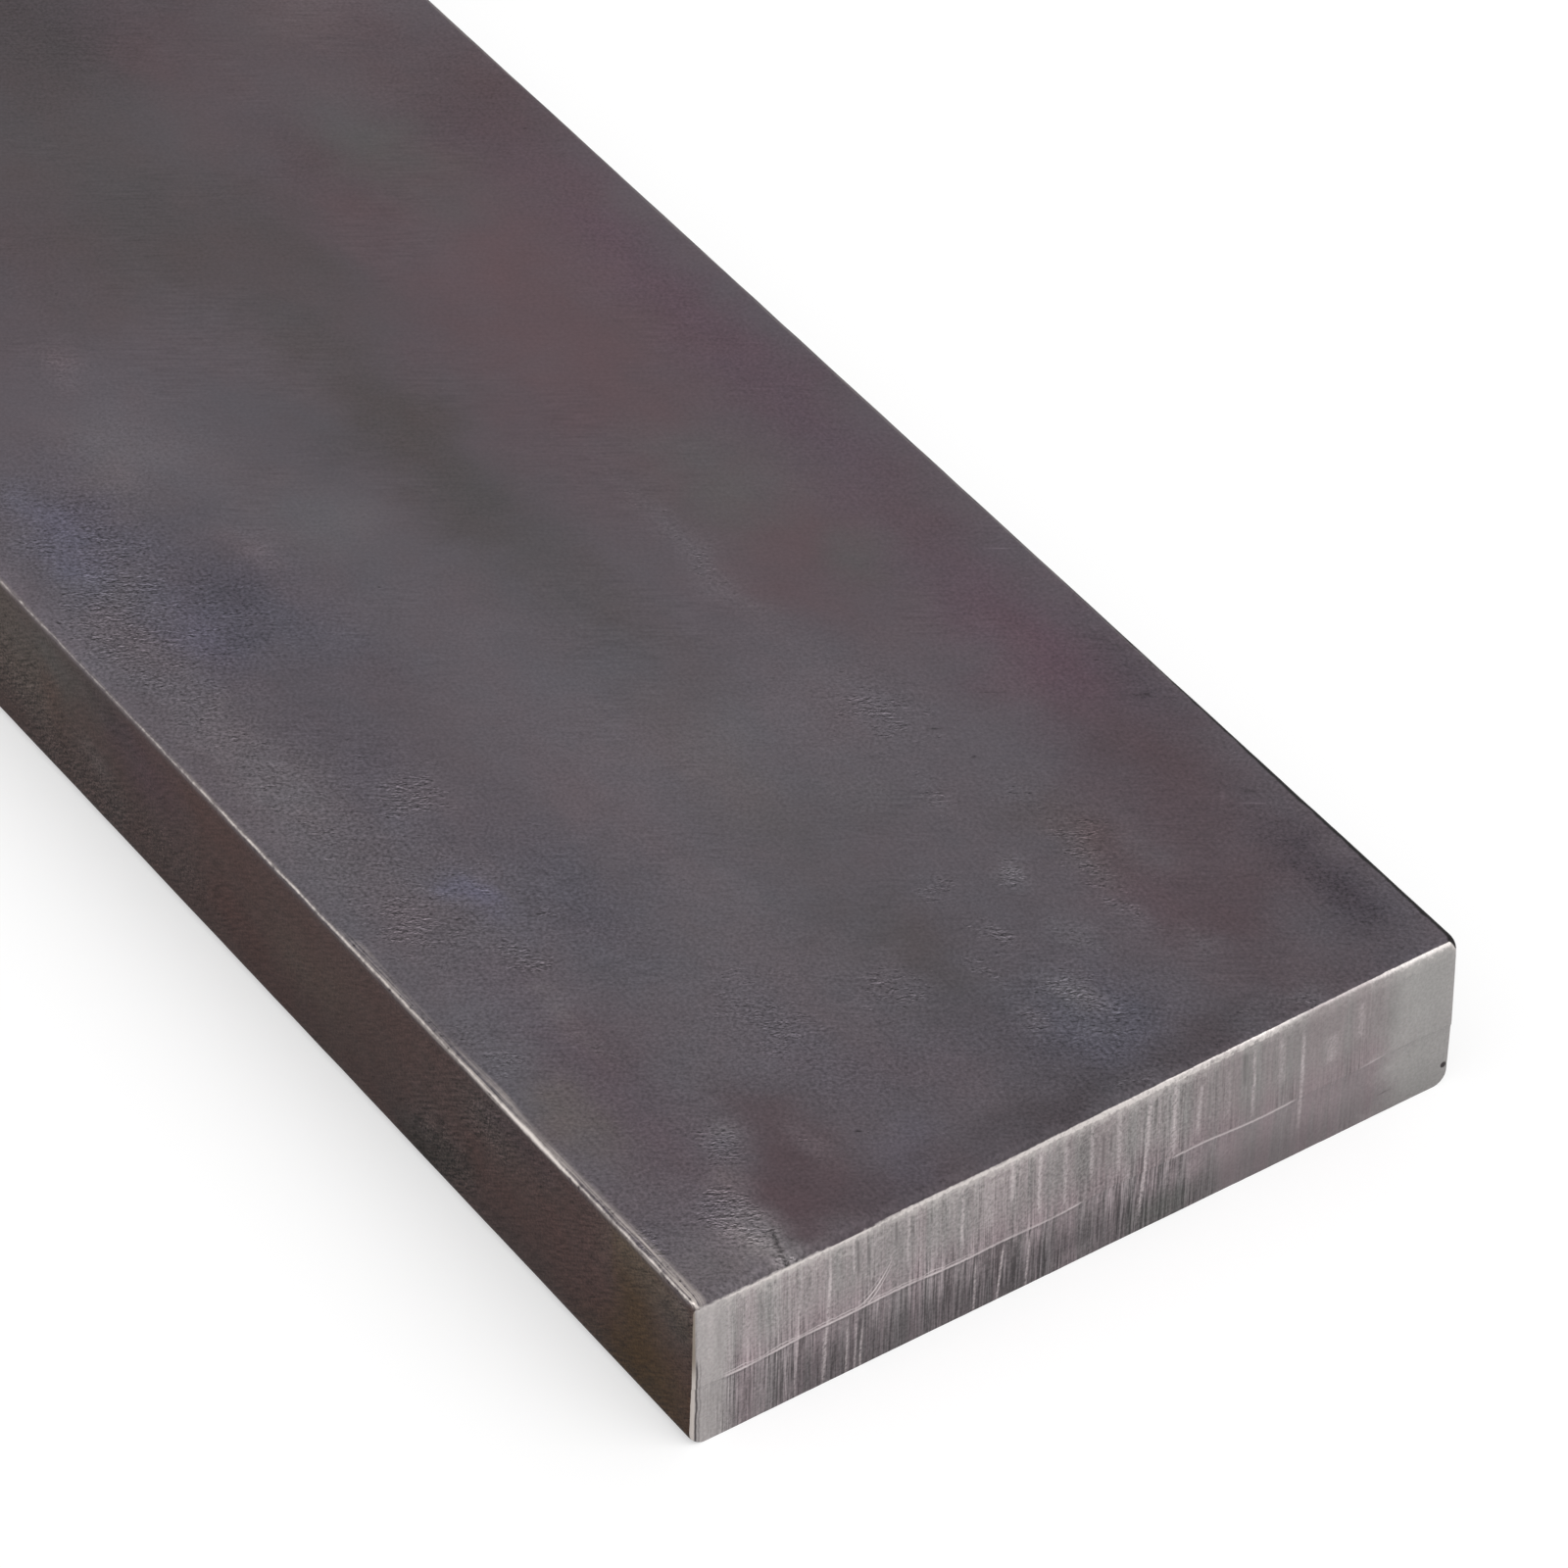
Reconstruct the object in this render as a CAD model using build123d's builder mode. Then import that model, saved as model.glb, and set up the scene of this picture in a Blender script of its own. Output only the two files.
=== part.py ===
from build123d import *

import os
from math import pi, sin

# Hot-rolled mild-steel flat bar, cut to length on a guillotine shear.
# Frame: X along the bar, Y across its width, Z through its thickness. The origin is
# in the middle of the underside, so the bar lies on Z = 0.

# ---- Driving dimensions, in millimetres -------------------------------------------

# Rolled section. The upper long corners are worked nearly square by the roll, and
# the lower ones keep a fuller radius.
bar_length = 1000.0
bar_width = 70.0
bar_thickness = 15.0
upper_corner_radius = 0.5
lower_corner_radius = 1.2

# Sheared end. The blade enters one face and leaves by the opposite one: it draws
# the entry edge over, burnishes a flat land, and the rest of the thickness breaks.
rollover_run = 1.0
rollover_drop = 0.8
side_draw_run = 0.85
side_draw_depth = 0.22
fracture_height = 6.2
fracture_setback = 0.25
break_ledge = 0.08
break_wave_height = 0.14
break_wave_length = 25.0

# Cutting shapes run this far past the bar, so that no face of theirs lies on it.
overcut = 2.0

# ---- Places worked out from them --------------------------------------------------

half_width = bar_width / 2
half_thickness = bar_thickness / 2
cut_reach = half_width + overcut
cut_rise = half_thickness + overcut
fracture_slope = fracture_setback / fracture_height
tail_drop = overcut / 2
waves_per_side = max(1, round(cut_reach / break_wave_length))
stations_per_wave = 12
station_count = 2 * waves_per_side * stations_per_wave


def break_height(y):
    """Height of the break line over the exit face: a long wave with a shorter one on it."""
    turn = 2 * pi * y / break_wave_length
    return fracture_height + break_wave_height * (sin(turn) + 0.5 * sin(2.7 * turn))


def fracture_section(rise):
    """Face of what breaks away, in a plane across the bar.

    Its upper edge is the break line, scaled so that a rise of 1 is the line itself and
    a rise of 0 lies on the exit face.
    """
    stations = [cut_reach * (2 * i / station_count - 1) for i in range(station_count + 1)]
    line_points = [(y, rise * break_height(y) - half_thickness) for y in stations]
    with BuildSketch() as section:
        with BuildLine():
            upper_edge = Spline(*line_points)
            Polyline(
                upper_edge @ 1,
                (cut_reach, -cut_rise),
                (-cut_reach, -cut_rise),
                upper_edge @ 0,
            )
        make_face()
    return section.sketch


def drawn_edge(face, run, drop):
    """Waste over an edge that the blade draws in: a quarter ellipse, tangent to both faces.

    In the sketch, X points out of the bar's end and Y out of the face that is drawn.
    """
    with BuildSketch() as waste:
        with BuildLine():
            quarter = EllipticalCenterArc((-run, face - drop), run, drop, arc_size=90)
            Polyline(
                quarter @ 1,
                (-run, face + overcut),
                (overcut, face + overcut),
                (overcut, face - drop),
                quarter @ 0,
            )
        make_face()
    return waste.sketch


# ---- What the shear takes off one end ---------------------------------------------
# Its own frame stands in the middle of the cut face: X out of the bar, entry face up.

with BuildPart() as shear_waste:
    # Rollover: the entry edge, drawn down right across the width.
    with BuildSketch(Plane.XZ.offset(-cut_reach)):
        add(drawn_edge(half_thickness, rollover_run, rollover_drop))
    extrude(amount=2 * cut_reach)

    # Side draw: the two upright edges, pulled in as the metal flows to the blade.
    with BuildSketch(Plane.XY.offset(-cut_rise)):
        add(drawn_edge(half_width, side_draw_run, side_draw_depth))
        mirror(about=Plane.XZ)
    extrude(amount=2 * cut_rise)

    # Ledge under the land, along the wavy break line.
    with BuildSketch(Plane.YZ.offset(-break_ledge)) as break_section:
        add(fracture_section(1))
    extrude(amount=break_ledge + overcut)

    # Fracture: a ruled face that leans back from the ledge to the exit face, and on
    # past it by the tail.
    tail_offset = -break_ledge - fracture_setback - fracture_slope * tail_drop
    with BuildSketch(Plane.YZ.offset(tail_offset)) as tail_section:
        add(fracture_section(-tail_drop / fracture_height))
    loft(sections=[break_section.sketch, tail_section.sketch], ruled=True)

# ---- The bar ----------------------------------------------------------------------

with BuildPart() as flat_bar:
    with BuildSketch(Plane.YZ.offset(-bar_length / 2)) as rolled_section:
        with Locations((0, half_thickness)):
            Rectangle(bar_width, bar_thickness)
        fillet(rolled_section.vertices().group_by(Axis.Y)[-1], radius=upper_corner_radius)
        fillet(rolled_section.vertices().group_by(Axis.Y)[0], radius=lower_corner_radius)
    extrude(amount=bar_length)

    # Two cuts in a row leave ends that match by half a turn about the bar's cross
    # axis: rolled over on top at one end, and underneath at the other.
    fore_end = Location((bar_length / 2, 0, half_thickness))
    rear_end = Location((-bar_length / 2, 0, half_thickness), (0, 180, 0))
    with Locations(fore_end, rear_end):
        add(shear_waste.part, mode=Mode.SUBTRACT)

flat_bar.part.label = "flat_bar"

os.makedirs("parts", exist_ok=True)
export_step(flat_bar.part, "parts/flat_bar.step")
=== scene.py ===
"""Looks of a hot-rolled steel flat bar, sheared to length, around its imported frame.

The bar is one piece, so one closed mesh stands for the frame's only node. Its skin is
worked out with numpy from a few sizes: the rolled section, the sheared ends and the
fine relief. Vertex attributes carry what the mill, the shear and handling left on it, and
one procedural material turns them into mill scale, worn edges and bare sheared steel.
"""

import itertools
import logging
import math
from dataclasses import dataclass, field, replace
from enum import Enum
from typing import Any, Union

import bpy
import numpy as np
from mathutils import Matrix, Vector


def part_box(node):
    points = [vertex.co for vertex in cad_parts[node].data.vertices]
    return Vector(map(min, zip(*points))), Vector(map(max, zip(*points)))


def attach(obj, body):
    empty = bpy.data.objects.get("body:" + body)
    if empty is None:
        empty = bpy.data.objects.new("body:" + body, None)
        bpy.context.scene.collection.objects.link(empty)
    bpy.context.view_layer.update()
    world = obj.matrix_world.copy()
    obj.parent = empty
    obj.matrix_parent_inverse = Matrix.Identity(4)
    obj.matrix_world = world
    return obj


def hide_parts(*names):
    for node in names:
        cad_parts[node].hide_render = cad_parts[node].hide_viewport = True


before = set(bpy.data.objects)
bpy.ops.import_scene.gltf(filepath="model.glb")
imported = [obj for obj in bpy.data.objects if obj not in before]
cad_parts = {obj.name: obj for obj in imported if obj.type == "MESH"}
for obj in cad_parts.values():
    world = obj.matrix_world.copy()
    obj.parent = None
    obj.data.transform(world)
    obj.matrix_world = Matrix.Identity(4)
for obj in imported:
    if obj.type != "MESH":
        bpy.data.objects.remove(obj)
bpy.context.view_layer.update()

MM = 1e-3
NODE = "flat_bar"

Array = np.ndarray
Triple = tuple[float, float, float]
Colour = Triple
Span = tuple[float, float]
Value = Union["Num", float, int]

log = logging.getLogger("flat_bar")


# ---- Small helpers --------------------------------------------------------------


def linear(red: int, green: int, blue: int) -> Colour:
    """Linear colour of an 8-bit display colour, by the display's 2.4 power curve.

    Args:
        red: Red from 0 to 255.
        green: Green from 0 to 255.
        blue: Blue from 0 to 255.

    Returns:
        The three linear channels.
    """
    channels = np.array([red, green, blue]) / 255
    curve = np.where(channels <= 0.04045, channels / 12.92, ((channels + 0.055) / 1.055) ** 2.4)
    return tuple(float(c) for c in curve)


def ease(values: Array) -> Array:
    """Cubic step 3t^2 - 2t^3 of values held between 0 and 1."""
    held = np.clip(values, 0.0, 1.0)
    return held * held * (3 - 2 * held)


def hill(distance: Array, reach: float, power: int = 2) -> Array:
    """Smooth hill exp(-(d/reach)^power), which is flatter on top for a higher even power."""
    return np.exp(-((distance / reach) ** power))


@dataclass
class RandomField:
    """Smooth seeded noise in space.

    Values on a repeating cubic lattice are blended by the cubic step along each axis.
    Each octave halves the pattern's size and its height, and is read a little farther on.
    """

    seed: int
    side: int = 32
    octave_shift: float = 7.3
    lattice: Array = field(init=False)

    def __post_init__(self) -> None:
        """Draws the lattice from the seed."""
        self.lattice = np.random.default_rng(self.seed).random((self.side,) * 3)

    def _layer(self, places: Array) -> Array:
        """One octave: the eight lattice values round each place, blended.

        Args:
            places: Places as an (n, 3) array, in cells of the lattice.

        Returns:
            One value from 0 to 1 for each place.
        """
        cell = np.floor(places).astype(int)
        blend = ease(places - cell)
        total = np.zeros(len(places))
        for corner in itertools.product((0, 1), repeat=3):
            index = (cell + corner) % self.side
            weight = np.where(corner, blend, 1 - blend).prod(axis=1)
            total += weight * self.lattice[index[:, 0], index[:, 1], index[:, 2]]
        return total

    def at(self, points: Array, size: float | Triple, octaves: int = 1) -> Array:
        """Noise from -1 to 1 at points.

        Args:
            points: Places as an (n, 3) array, in metres.
            size: Width of the pattern's cells in metres, for all axes or for each.
            octaves: How many finer layers are summed.

        Returns:
            One value for each point.
        """
        places = points / np.asarray(size)
        heights = [0.5**k for k in range(octaves)]
        shifts = [self.octave_shift * k for k in range(octaves)]
        layers = [h * self._layer(places / h + shift) for h, shift in zip(heights, shifts)]
        return 2 * sum(layers) / sum(heights) - 1


# ---- The bar's form -------------------------------------------------------------


@dataclass(frozen=True)
class Section:
    """Rolled section: a rectangle whose two pairs of long corners have their own radii."""

    width: float
    thickness: float
    upper_radius: float = 0.5 * MM
    lower_radius: float = 1.2 * MM

    def turned(self) -> "Section":
        """The same section seen after half a turn about the cross axis."""
        return replace(self, upper_radius=self.lower_radius, lower_radius=self.upper_radius)

    def half_width_at(self, heights: Array) -> Array:
        """Half width W/2 - (r - sqrt(r^2 - h^2)), with h how far a height is into a corner.

        Args:
            heights: Z of each place.

        Returns:
            Half the section's width at each height.
        """
        into_lower = np.clip(self.lower_radius - heights, 0, self.lower_radius)
        into_upper = np.clip(heights - self.thickness + self.upper_radius, 0, self.upper_radius)
        lower_loss = self.lower_radius - np.sqrt(self.lower_radius**2 - into_lower**2)
        upper_loss = self.upper_radius - np.sqrt(self.upper_radius**2 - into_upper**2)
        return self.width / 2 - lower_loss - upper_loss

    def corner_rows(self, steps: int) -> tuple[Array, Array]:
        """Heights on the lower and the upper corner's arc, at r(1 - cos t) for even steps of t."""
        share = 1 - np.cos(np.linspace(0, math.pi / 2, steps + 1))
        return self.lower_radius * share, self.thickness - self.upper_radius * share[::-1]

    def turn_place(self, across: Array, heights: Array, on_side: Array) -> Array:
        """Place round the section, from 0 to 4, as seen from the fore end.

        The underside counts from 0 to 1 towards +Y, the +Y side from 1 to 2 upwards, the
        top from 2 to 3 towards -Y and the -Y side from 3 to 4 downwards.

        Args:
            across: Y of each point before the shear draws it.
            heights: Z of each point before the shear draws it.
            on_side: True for a point of an upright side, its corner arcs included.

        Returns:
            One place for each point.
        """
        along_y = across / self.width + 0.5
        along_z = heights / self.thickness
        side = np.where(across > 0, 1 + along_z, 4 - along_z)
        level = np.where(along_z < 0.5, along_y, 3 - along_y)
        return np.where(on_side, side, level)


@dataclass(frozen=True)
class ShearMarks:
    """What the shear does to one end, in metres, in that end's own frame.

    In it, X points out of the bar from the cut face, Y across, and Z up from the face
    that the blade leaves by to the face that it enters. ripple_share and ripple_pace
    are the height and the pace of the break line's short wave over those of its long one.
    """

    rollover_run: float = 1.0 * MM
    rollover_drop: float = 0.8 * MM
    side_draw_run: float = 0.85 * MM
    side_draw_depth: float = 0.22 * MM
    fracture_height: float = 6.2 * MM
    fracture_setback: float = 0.25 * MM
    break_ledge: float = 0.08 * MM
    break_wave_height: float = 0.14 * MM
    break_wave_length: float = 25 * MM
    ripple_share: float = 0.5
    ripple_pace: float = 2.7
    reach: float = 2.2 * MM
    ledge_blend: float = 0.05 * MM
    wave_fade: float = 1.4 * MM

    def break_wave(self, across: Array) -> Array:
        """Rise of the break line over its mean: a long sine wave with a shorter one on it.

        Args:
            across: Y of each point.

        Returns:
            A height for each point, in metres.
        """
        turn = 2 * math.pi * across / self.break_wave_length
        ripple = self.ripple_share * np.sin(self.ripple_pace * turn)
        return self.break_wave_height * (np.sin(turn) + ripple)

    @staticmethod
    def drawn(inward: Array, run: float, depth: float) -> Array:
        """Quarter ellipse: depth * (1 - sqrt(1 - (1 - s/run)^2)) at s inward of the cut face."""
        left = np.clip(1 - inward / run, 0, 1)
        return depth * (1 - np.sqrt(1 - left**2))

    def place(self, inward: Array, across: Array, heights: Array, section: Section) -> Array:
        """Moves points of the plain rolled bar to where the shear leaves them.

        The entry edge drops by a quarter ellipse, the sides draw in by another, and
        below the wavy break line the face steps back by the ledge and then leans back.

        Args:
            inward: Distance of each point from the cut face, into the bar.
            across: Y of each point on the plain bar.
            heights: Z of each point on the plain bar.
            section: The rolled section.

        Returns:
            An (n, 3) array of places in the end's frame.
        """
        fade = np.clip(1 - inward / self.reach, 0, 1)
        by_break = hill(heights - self.fracture_height, self.wave_fade)
        z = heights + fade * by_break * self.break_wave(across)
        top_zone = 3 * self.rollover_drop
        drop = self.drawn(inward, self.rollover_run, self.rollover_drop)
        below = self.fracture_height + self.break_wave(across) - z
        z = z - drop * ease((z - section.thickness + top_zone) / top_zone)
        side_zone = 10 * self.side_draw_depth
        draw = self.drawn(inward, self.side_draw_run, self.side_draw_depth)
        by_side = ease((np.abs(across) - section.width / 2 + side_zone) / side_zone)
        y = across - np.sign(across) * draw * by_side
        slope = self.fracture_setback / self.fracture_height
        setback = self.break_ledge * ease(below / self.ledge_blend) + slope * np.clip(below, 0, None)
        return np.column_stack([-(inward + fade * setback), y, z])


@dataclass
class Skin:
    """Growing mesh of the bar: points, faces and what each point is part of."""

    points: list[Array] = field(default_factory=list)
    faces: list[Array] = field(default_factory=list)
    sheared: list[Array] = field(default_factory=list)
    above_break: list[Array] = field(default_factory=list)
    count: int = 0

    def add_points(self, points: Array, sheared: Array, above_break: Array) -> Array:
        """Adds points and gives back their numbers.

        Args:
            points: An (n, 3) array of places.
            sheared: From 0 on the rolled skin to 1 at the cut face's rim and 2 in its middle.
            above_break: Height over the break line in millimetres, for each point.

        Returns:
            The numbers of the new points.
        """
        numbers = np.arange(self.count, self.count + len(points))
        self.points.append(points)
        self.sheared.append(sheared)
        self.above_break.append(above_break)
        self.count += len(points)
        return numbers

    def add_grid(self, numbers: Array, closed: bool) -> None:
        """Adds the four-sided faces of a grid of point numbers.

        Args:
            numbers: Point numbers, one row for each line of the grid.
            closed: True where each row is a closed ring.
        """
        turned = np.roll(numbers, -1, axis=1)
        last = None if closed else -1
        corners = (numbers[:-1, :last], numbers[1:, :last], turned[1:, :last], turned[:-1, :last])
        self.faces.append(np.stack([c.ravel() for c in corners], axis=1))

    def stitch(self, front: Array, front_place: Array, back: Array, back_place: Array) -> None:
        """Joins two closed rings with unlike numbers of points by a band of triangles.

        Both rings are walked together in order of place. Each step along one ring makes
        a triangle with the point last passed on the other.

        Args:
            front: Numbers of the ring nearer the fore end, in order of place.
            front_place: Place of each round the section, rising.
            back: Numbers of the other ring.
            back_place: Place of each, rising.
        """
        front_next = np.append(front_place[1:], front_place[0] + 4)
        back_next = np.append(back_place[1:], back_place[0] + 4)
        passed_back = np.searchsorted(np.append(back_place, back_place[0] + 4), front_next, "right")
        passed_front = np.searchsorted(np.append(front_place, front_place[0] + 4), back_next, "left")
        held_back = back[(passed_back - 1) % len(back)]
        held_front = front[(passed_front - 1) % len(front)]
        self.faces.append(np.stack([front, held_back, np.roll(front, -1)], axis=1))
        self.faces.append(np.stack([held_front, back, np.roll(back, -1)], axis=1))


class End(Enum):
    """The bar's two ends."""

    FORE = 1
    REAR = -1


@dataclass(frozen=True)
class Rim:
    """Inner ring of an end, where the rest of the bar joins on."""

    numbers: Array
    places: Array


@dataclass(frozen=True)
class ShearedEnd:
    """One end of the bar: the cut face and the collar that the shear has drawn.

    drawn_rings and plain_rings count the collar's rings on the rollover and behind it.
    """

    section: Section
    marks: ShearMarks
    half_length: float
    columns: int = 251
    corner_steps: int = 5
    row_pitch: float = 0.33 * MM
    ledge_half: float = 0.03 * MM
    drawn_rings: int = 7
    plain_rings: int = 3

    def rows(self, section: Section) -> Array:
        """Heights of the cut face's rows: corner arcs, even rows, and two at the break.

        Args:
            section: The rolled section, as it lies at this end.

        Returns:
            Rising heights.
        """
        lower, upper = section.corner_rows(self.corner_steps)
        under = self.marks.fracture_height - self.ledge_half
        over = self.marks.fracture_height + self.ledge_half
        under_count = round((under - lower[-1]) / self.row_pitch)
        over_count = round((upper[0] - over) / self.row_pitch)
        under_rows = np.linspace(lower[-1], under, under_count + 1)
        over_rows = np.linspace(over, upper[0], over_count + 1)
        return np.concatenate([lower[:-1], under_rows, over_rows, upper[1:]])

    def collar_steps(self) -> Array:
        """Distances of the collar's rings from the cut face.

        On the rollover they follow even steps of its ellipse's angle, and behind it they are even.

        Returns:
            Rising distances in metres.
        """
        angles = np.linspace(0, math.pi / 2, self.drawn_rings + 1)[1:]
        drawn_steps = self.marks.rollover_run * (1 - np.cos(angles))
        plain_steps = np.linspace(self.marks.rollover_run, self.marks.reach, self.plain_rings + 1)[1:]
        return np.concatenate([drawn_steps, plain_steps])

    def ring_of(self, grid: Array) -> Array:
        """Border of a grid, anticlockwise from its lower left, as seen from outside."""
        return np.concatenate([grid[0, :-1], grid[:-1, -1], grid[-1, :0:-1], grid[:0:-1, 0]])

    def build(self, skin: Skin, end: End) -> Rim:
        """Adds this end's faces to the skin.

        The cut face is a grid of rows and columns, its columns spread over the width
        that the section has at each row. The collar is its border ring, repeated at
        growing distances into the bar.

        Args:
            skin: The mesh that grows.
            end: Which end this is. The rear one is the fore one, turned half a turn.

        Returns:
            The collar's last ring.
        """
        section = self.section if end is End.FORE else self.section.turned()
        rows = self.rows(section)
        columns = np.linspace(-1, 1, self.columns)
        heights = np.repeat(rows, self.columns)
        across = (section.half_width_at(rows)[:, None] * columns).ravel()
        face = self._add(skin, end, section, np.zeros_like(across), across, heights)
        grid = face.reshape(len(rows), self.columns)
        skin.add_grid(grid[::-1], closed=False)
        border = self.ring_of(grid) - face[0]
        rings = [grid.ravel()[border]]
        for step in self.collar_steps():
            inward = np.full(len(border), step)
            rings.append(self._add(skin, end, section, inward, across[border], heights[border]))
        skin.add_grid(np.array(rings), closed=True)
        column_of = border % self.columns
        on_side = (column_of == 0) | (column_of == self.columns - 1)
        bar_heights = heights[border]
        if end is End.REAR:
            bar_heights = section.thickness - bar_heights
        places = self.section.turn_place(across[border], bar_heights, on_side)
        order = np.argsort(places, kind="stable")
        return Rim(rings[-1][order], places[order])

    def _add(
        self, skin: Skin, end: End, section: Section, inward: Array, across: Array, heights: Array
    ) -> Array:
        """Places points by the shear's marks, turns them for the rear end and adds them.

        Args:
            skin: The mesh that grows.
            end: Which end this is.
            section: The rolled section, as it lies at this end.
            inward: Distance of each point from the cut face.
            across: Y of each point on the plain bar.
            heights: Z of each point on the plain bar.

        Returns:
            The numbers of the new points.
        """
        placed = self.marks.place(inward, across, heights, section)
        over = (placed[:, 2] - self.marks.fracture_height - self.marks.break_wave(across)) / MM
        rim = section.thickness - self.marks.rollover_drop
        under_rim = np.clip((rim - placed[:, 2]) / MM, 0, 1)
        sheared = 1 - np.clip(inward / self.marks.rollover_run, 0, 1) + under_rim * (inward == 0)
        placed[:, 0] += self.half_length
        if end is End.REAR:
            placed[:, 0] *= -1
            placed[:, 2] = section.thickness - placed[:, 2]
        return skin.add_points(placed, sheared, over)


@dataclass(frozen=True)
class RolledLength:
    """The bar between its ends: one ring of the section, repeated along X.

    margins are the distances from a long edge, in millimetres, at which a broad face has
    its outer points. gap is left between the ends' collars and the first and last ring.
    """

    section: Section
    half_length: float
    fine_pitch: float = 0.95 * MM
    coarse_pitch: float = 7.0 * MM
    fine_reach: float = 0.10
    margins: tuple[float, ...] = (0.0, 0.4, 0.9, 1.7, 3.0, 4.8)
    top_columns: int = 60
    under_columns: int = 10
    corner_steps: int = 4
    side_rows: int = 12
    gap: float = 0.6 * MM

    def stations(self, start: float) -> Array:
        """X of each ring, from start to -start: close together near the ends.

        Args:
            start: X of the first ring.

        Returns:
            Falling values of X.
        """
        growth = (self.coarse_pitch - self.fine_pitch) / (start - self.fine_reach)
        depths = [0.0]
        while depths[-1] < start:
            past_fine = max(0.0, depths[-1] - self.fine_reach)
            depths.append(depths[-1] + self.fine_pitch + growth * past_fine)
        half = np.array(depths) * start / depths[-1]
        return np.concatenate([start - half, half[-2::-1] - start])

    def ring(self) -> tuple[Array, Array, Array]:
        """The ring's points: the underside, one side, the top and the other side.

        Returns:
            Y, Z and place of each point round the section, in order of place.
        """
        lower, upper = self.section.corner_rows(self.corner_steps)
        middle = np.linspace(lower[-1], upper[0], self.side_rows)
        heights = np.concatenate([lower[:-1], middle, upper[1:]])
        half_widths = self.section.half_width_at(heights)
        under = self._flat(half_widths[0], self.under_columns)
        top = self._flat(half_widths[-1], self.top_columns)
        across = np.concatenate([under[:-1], half_widths[:-1], top[:0:-1], -half_widths[:0:-1]])
        level = np.zeros(len(under) - 1)
        raised = np.full(len(top) - 1, self.section.thickness)
        height = np.concatenate([level, heights[:-1], raised, heights[:0:-1]])
        counts = [len(level), len(heights) - 1, len(raised), len(heights) - 1]
        on_side = np.repeat([False, True, False, True], counts)
        place = self.section.turn_place(across, height, on_side)
        order = np.argsort(place, kind="stable")
        return across[order], height[order], place[order]

    def _flat(self, half: float, columns: int) -> Array:
        """Y across a broad face, closer together towards its long edges.

        Args:
            half: Half the face's width.
            columns: How many even points its middle has.

        Returns:
            Rising values of Y.
        """
        margins = np.array(self.margins) * MM
        middle = np.linspace(-half + margins[-1], half - margins[-1], columns)
        return np.concatenate([margins[:-1] - half, middle, half - margins[-2::-1]])

    def build(self, skin: Skin, fore: Rim, rear: Rim, reach: float) -> None:
        """Adds the rolled faces and joins them to both ends.

        Args:
            skin: The mesh that grows.
            fore: The fore end's inner ring.
            rear: The rear end's inner ring.
            reach: How far in from the cut faces those rings lie.
        """
        across, height, place = self.ring()
        stations = self.stations(self.half_length - reach - self.gap)
        x = np.repeat(stations, len(place))
        y = np.tile(across, len(stations))
        z = np.tile(height, len(stations))
        plain = np.zeros_like(x)
        numbers = skin.add_points(np.column_stack([x, y, z]), plain, plain)
        rings = numbers.reshape(len(stations), len(place))
        skin.add_grid(rings, closed=True)
        skin.stitch(fore.numbers, fore.places, rings[0], place)
        skin.stitch(rings[-1], place, rear.numbers, rear.places)


# ---- What the mill, the shear and handling left on it -----------------------------


class Bloom(Enum):
    """Kinds of patch in the mill scale: the tone of each, how grainy it is and how crusted."""

    BRONZE = (linear(91, 74, 78), 0.05, 0.0)
    MAUVE = (linear(87, 71, 80), 0.3, 0.0)
    BROWN = (linear(80, 67, 71), 0.25, 0.0)
    GREEN = (linear(86, 84, 84), 0.05, 0.0)
    OLIVE = (linear(75, 69, 69), 0.1, 0.0)
    ASH = (linear(93, 88, 93), 0.2, 0.0)
    BLUE = (linear(80, 78, 88), 0.8, 0.3)
    SMOKE = (linear(60, 55, 62), 0.7, 0.1)
    OCHRE = (linear(77, 60, 42), 0.3, 0.1)
    RUST = (linear(88, 62, 58), 0.15, 0.0)
    CRUST = (linear(101, 97, 102), 0.6, 0.9)
    SCUFF = (linear(106, 97, 102), 0.6, 0.8)
    PALE = (linear(118, 111, 112), 0.35, 0.2)
    SAND = (linear(102, 91, 82), 0.4, 0.1)
    STIPPLE = (linear(95, 90, 95), 0.85, 0.45)
    FLECK = (linear(84, 73, 71), 0.85, 0.9)
    GRIT = (linear(93, 87, 92), 0.55, 0.95)
    PITCH = (linear(46, 41, 36), 0.7, 0.5)
    CHALK = (linear(136, 131, 131), 0.7, 0.6)
    VIOLET = (linear(93, 91, 108), 0.5, 0.2)

    @property
    def tone(self) -> Colour:
        """Colour in the middle of the patch."""
        return self.value[0]

    @property
    def grain(self) -> float:
        """How grainy the middle of the patch is, from 0 to 1."""
        return self.value[1]

    @property
    def crust(self) -> float:
        """How crusted the middle of the patch is, from 0 to 1."""
        return self.value[2]


class Side(Enum):
    """The four long faces, each with its own base tone."""

    TOP = linear(88, 82, 87)
    UNDER = linear(84, 78, 81)
    NEAR = linear(84, 66, 63)
    FAR = linear(76, 62, 60)

    @property
    def broad(self) -> bool:
        """True for the top and the underside."""
        return self in (Side.TOP, Side.UNDER)


@dataclass(frozen=True)
class Patch:
    """A soft-edged patch on a long face, in millimetres.

    inward is its distance from the fore end. across is Y on a broad face and the height
    on a narrow side. length and breadth are its half sizes along the bar and across it.
    """

    bloom: Bloom
    inward: float
    across: float
    length: float
    breadth: float
    strength: float
    side: Side


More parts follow.
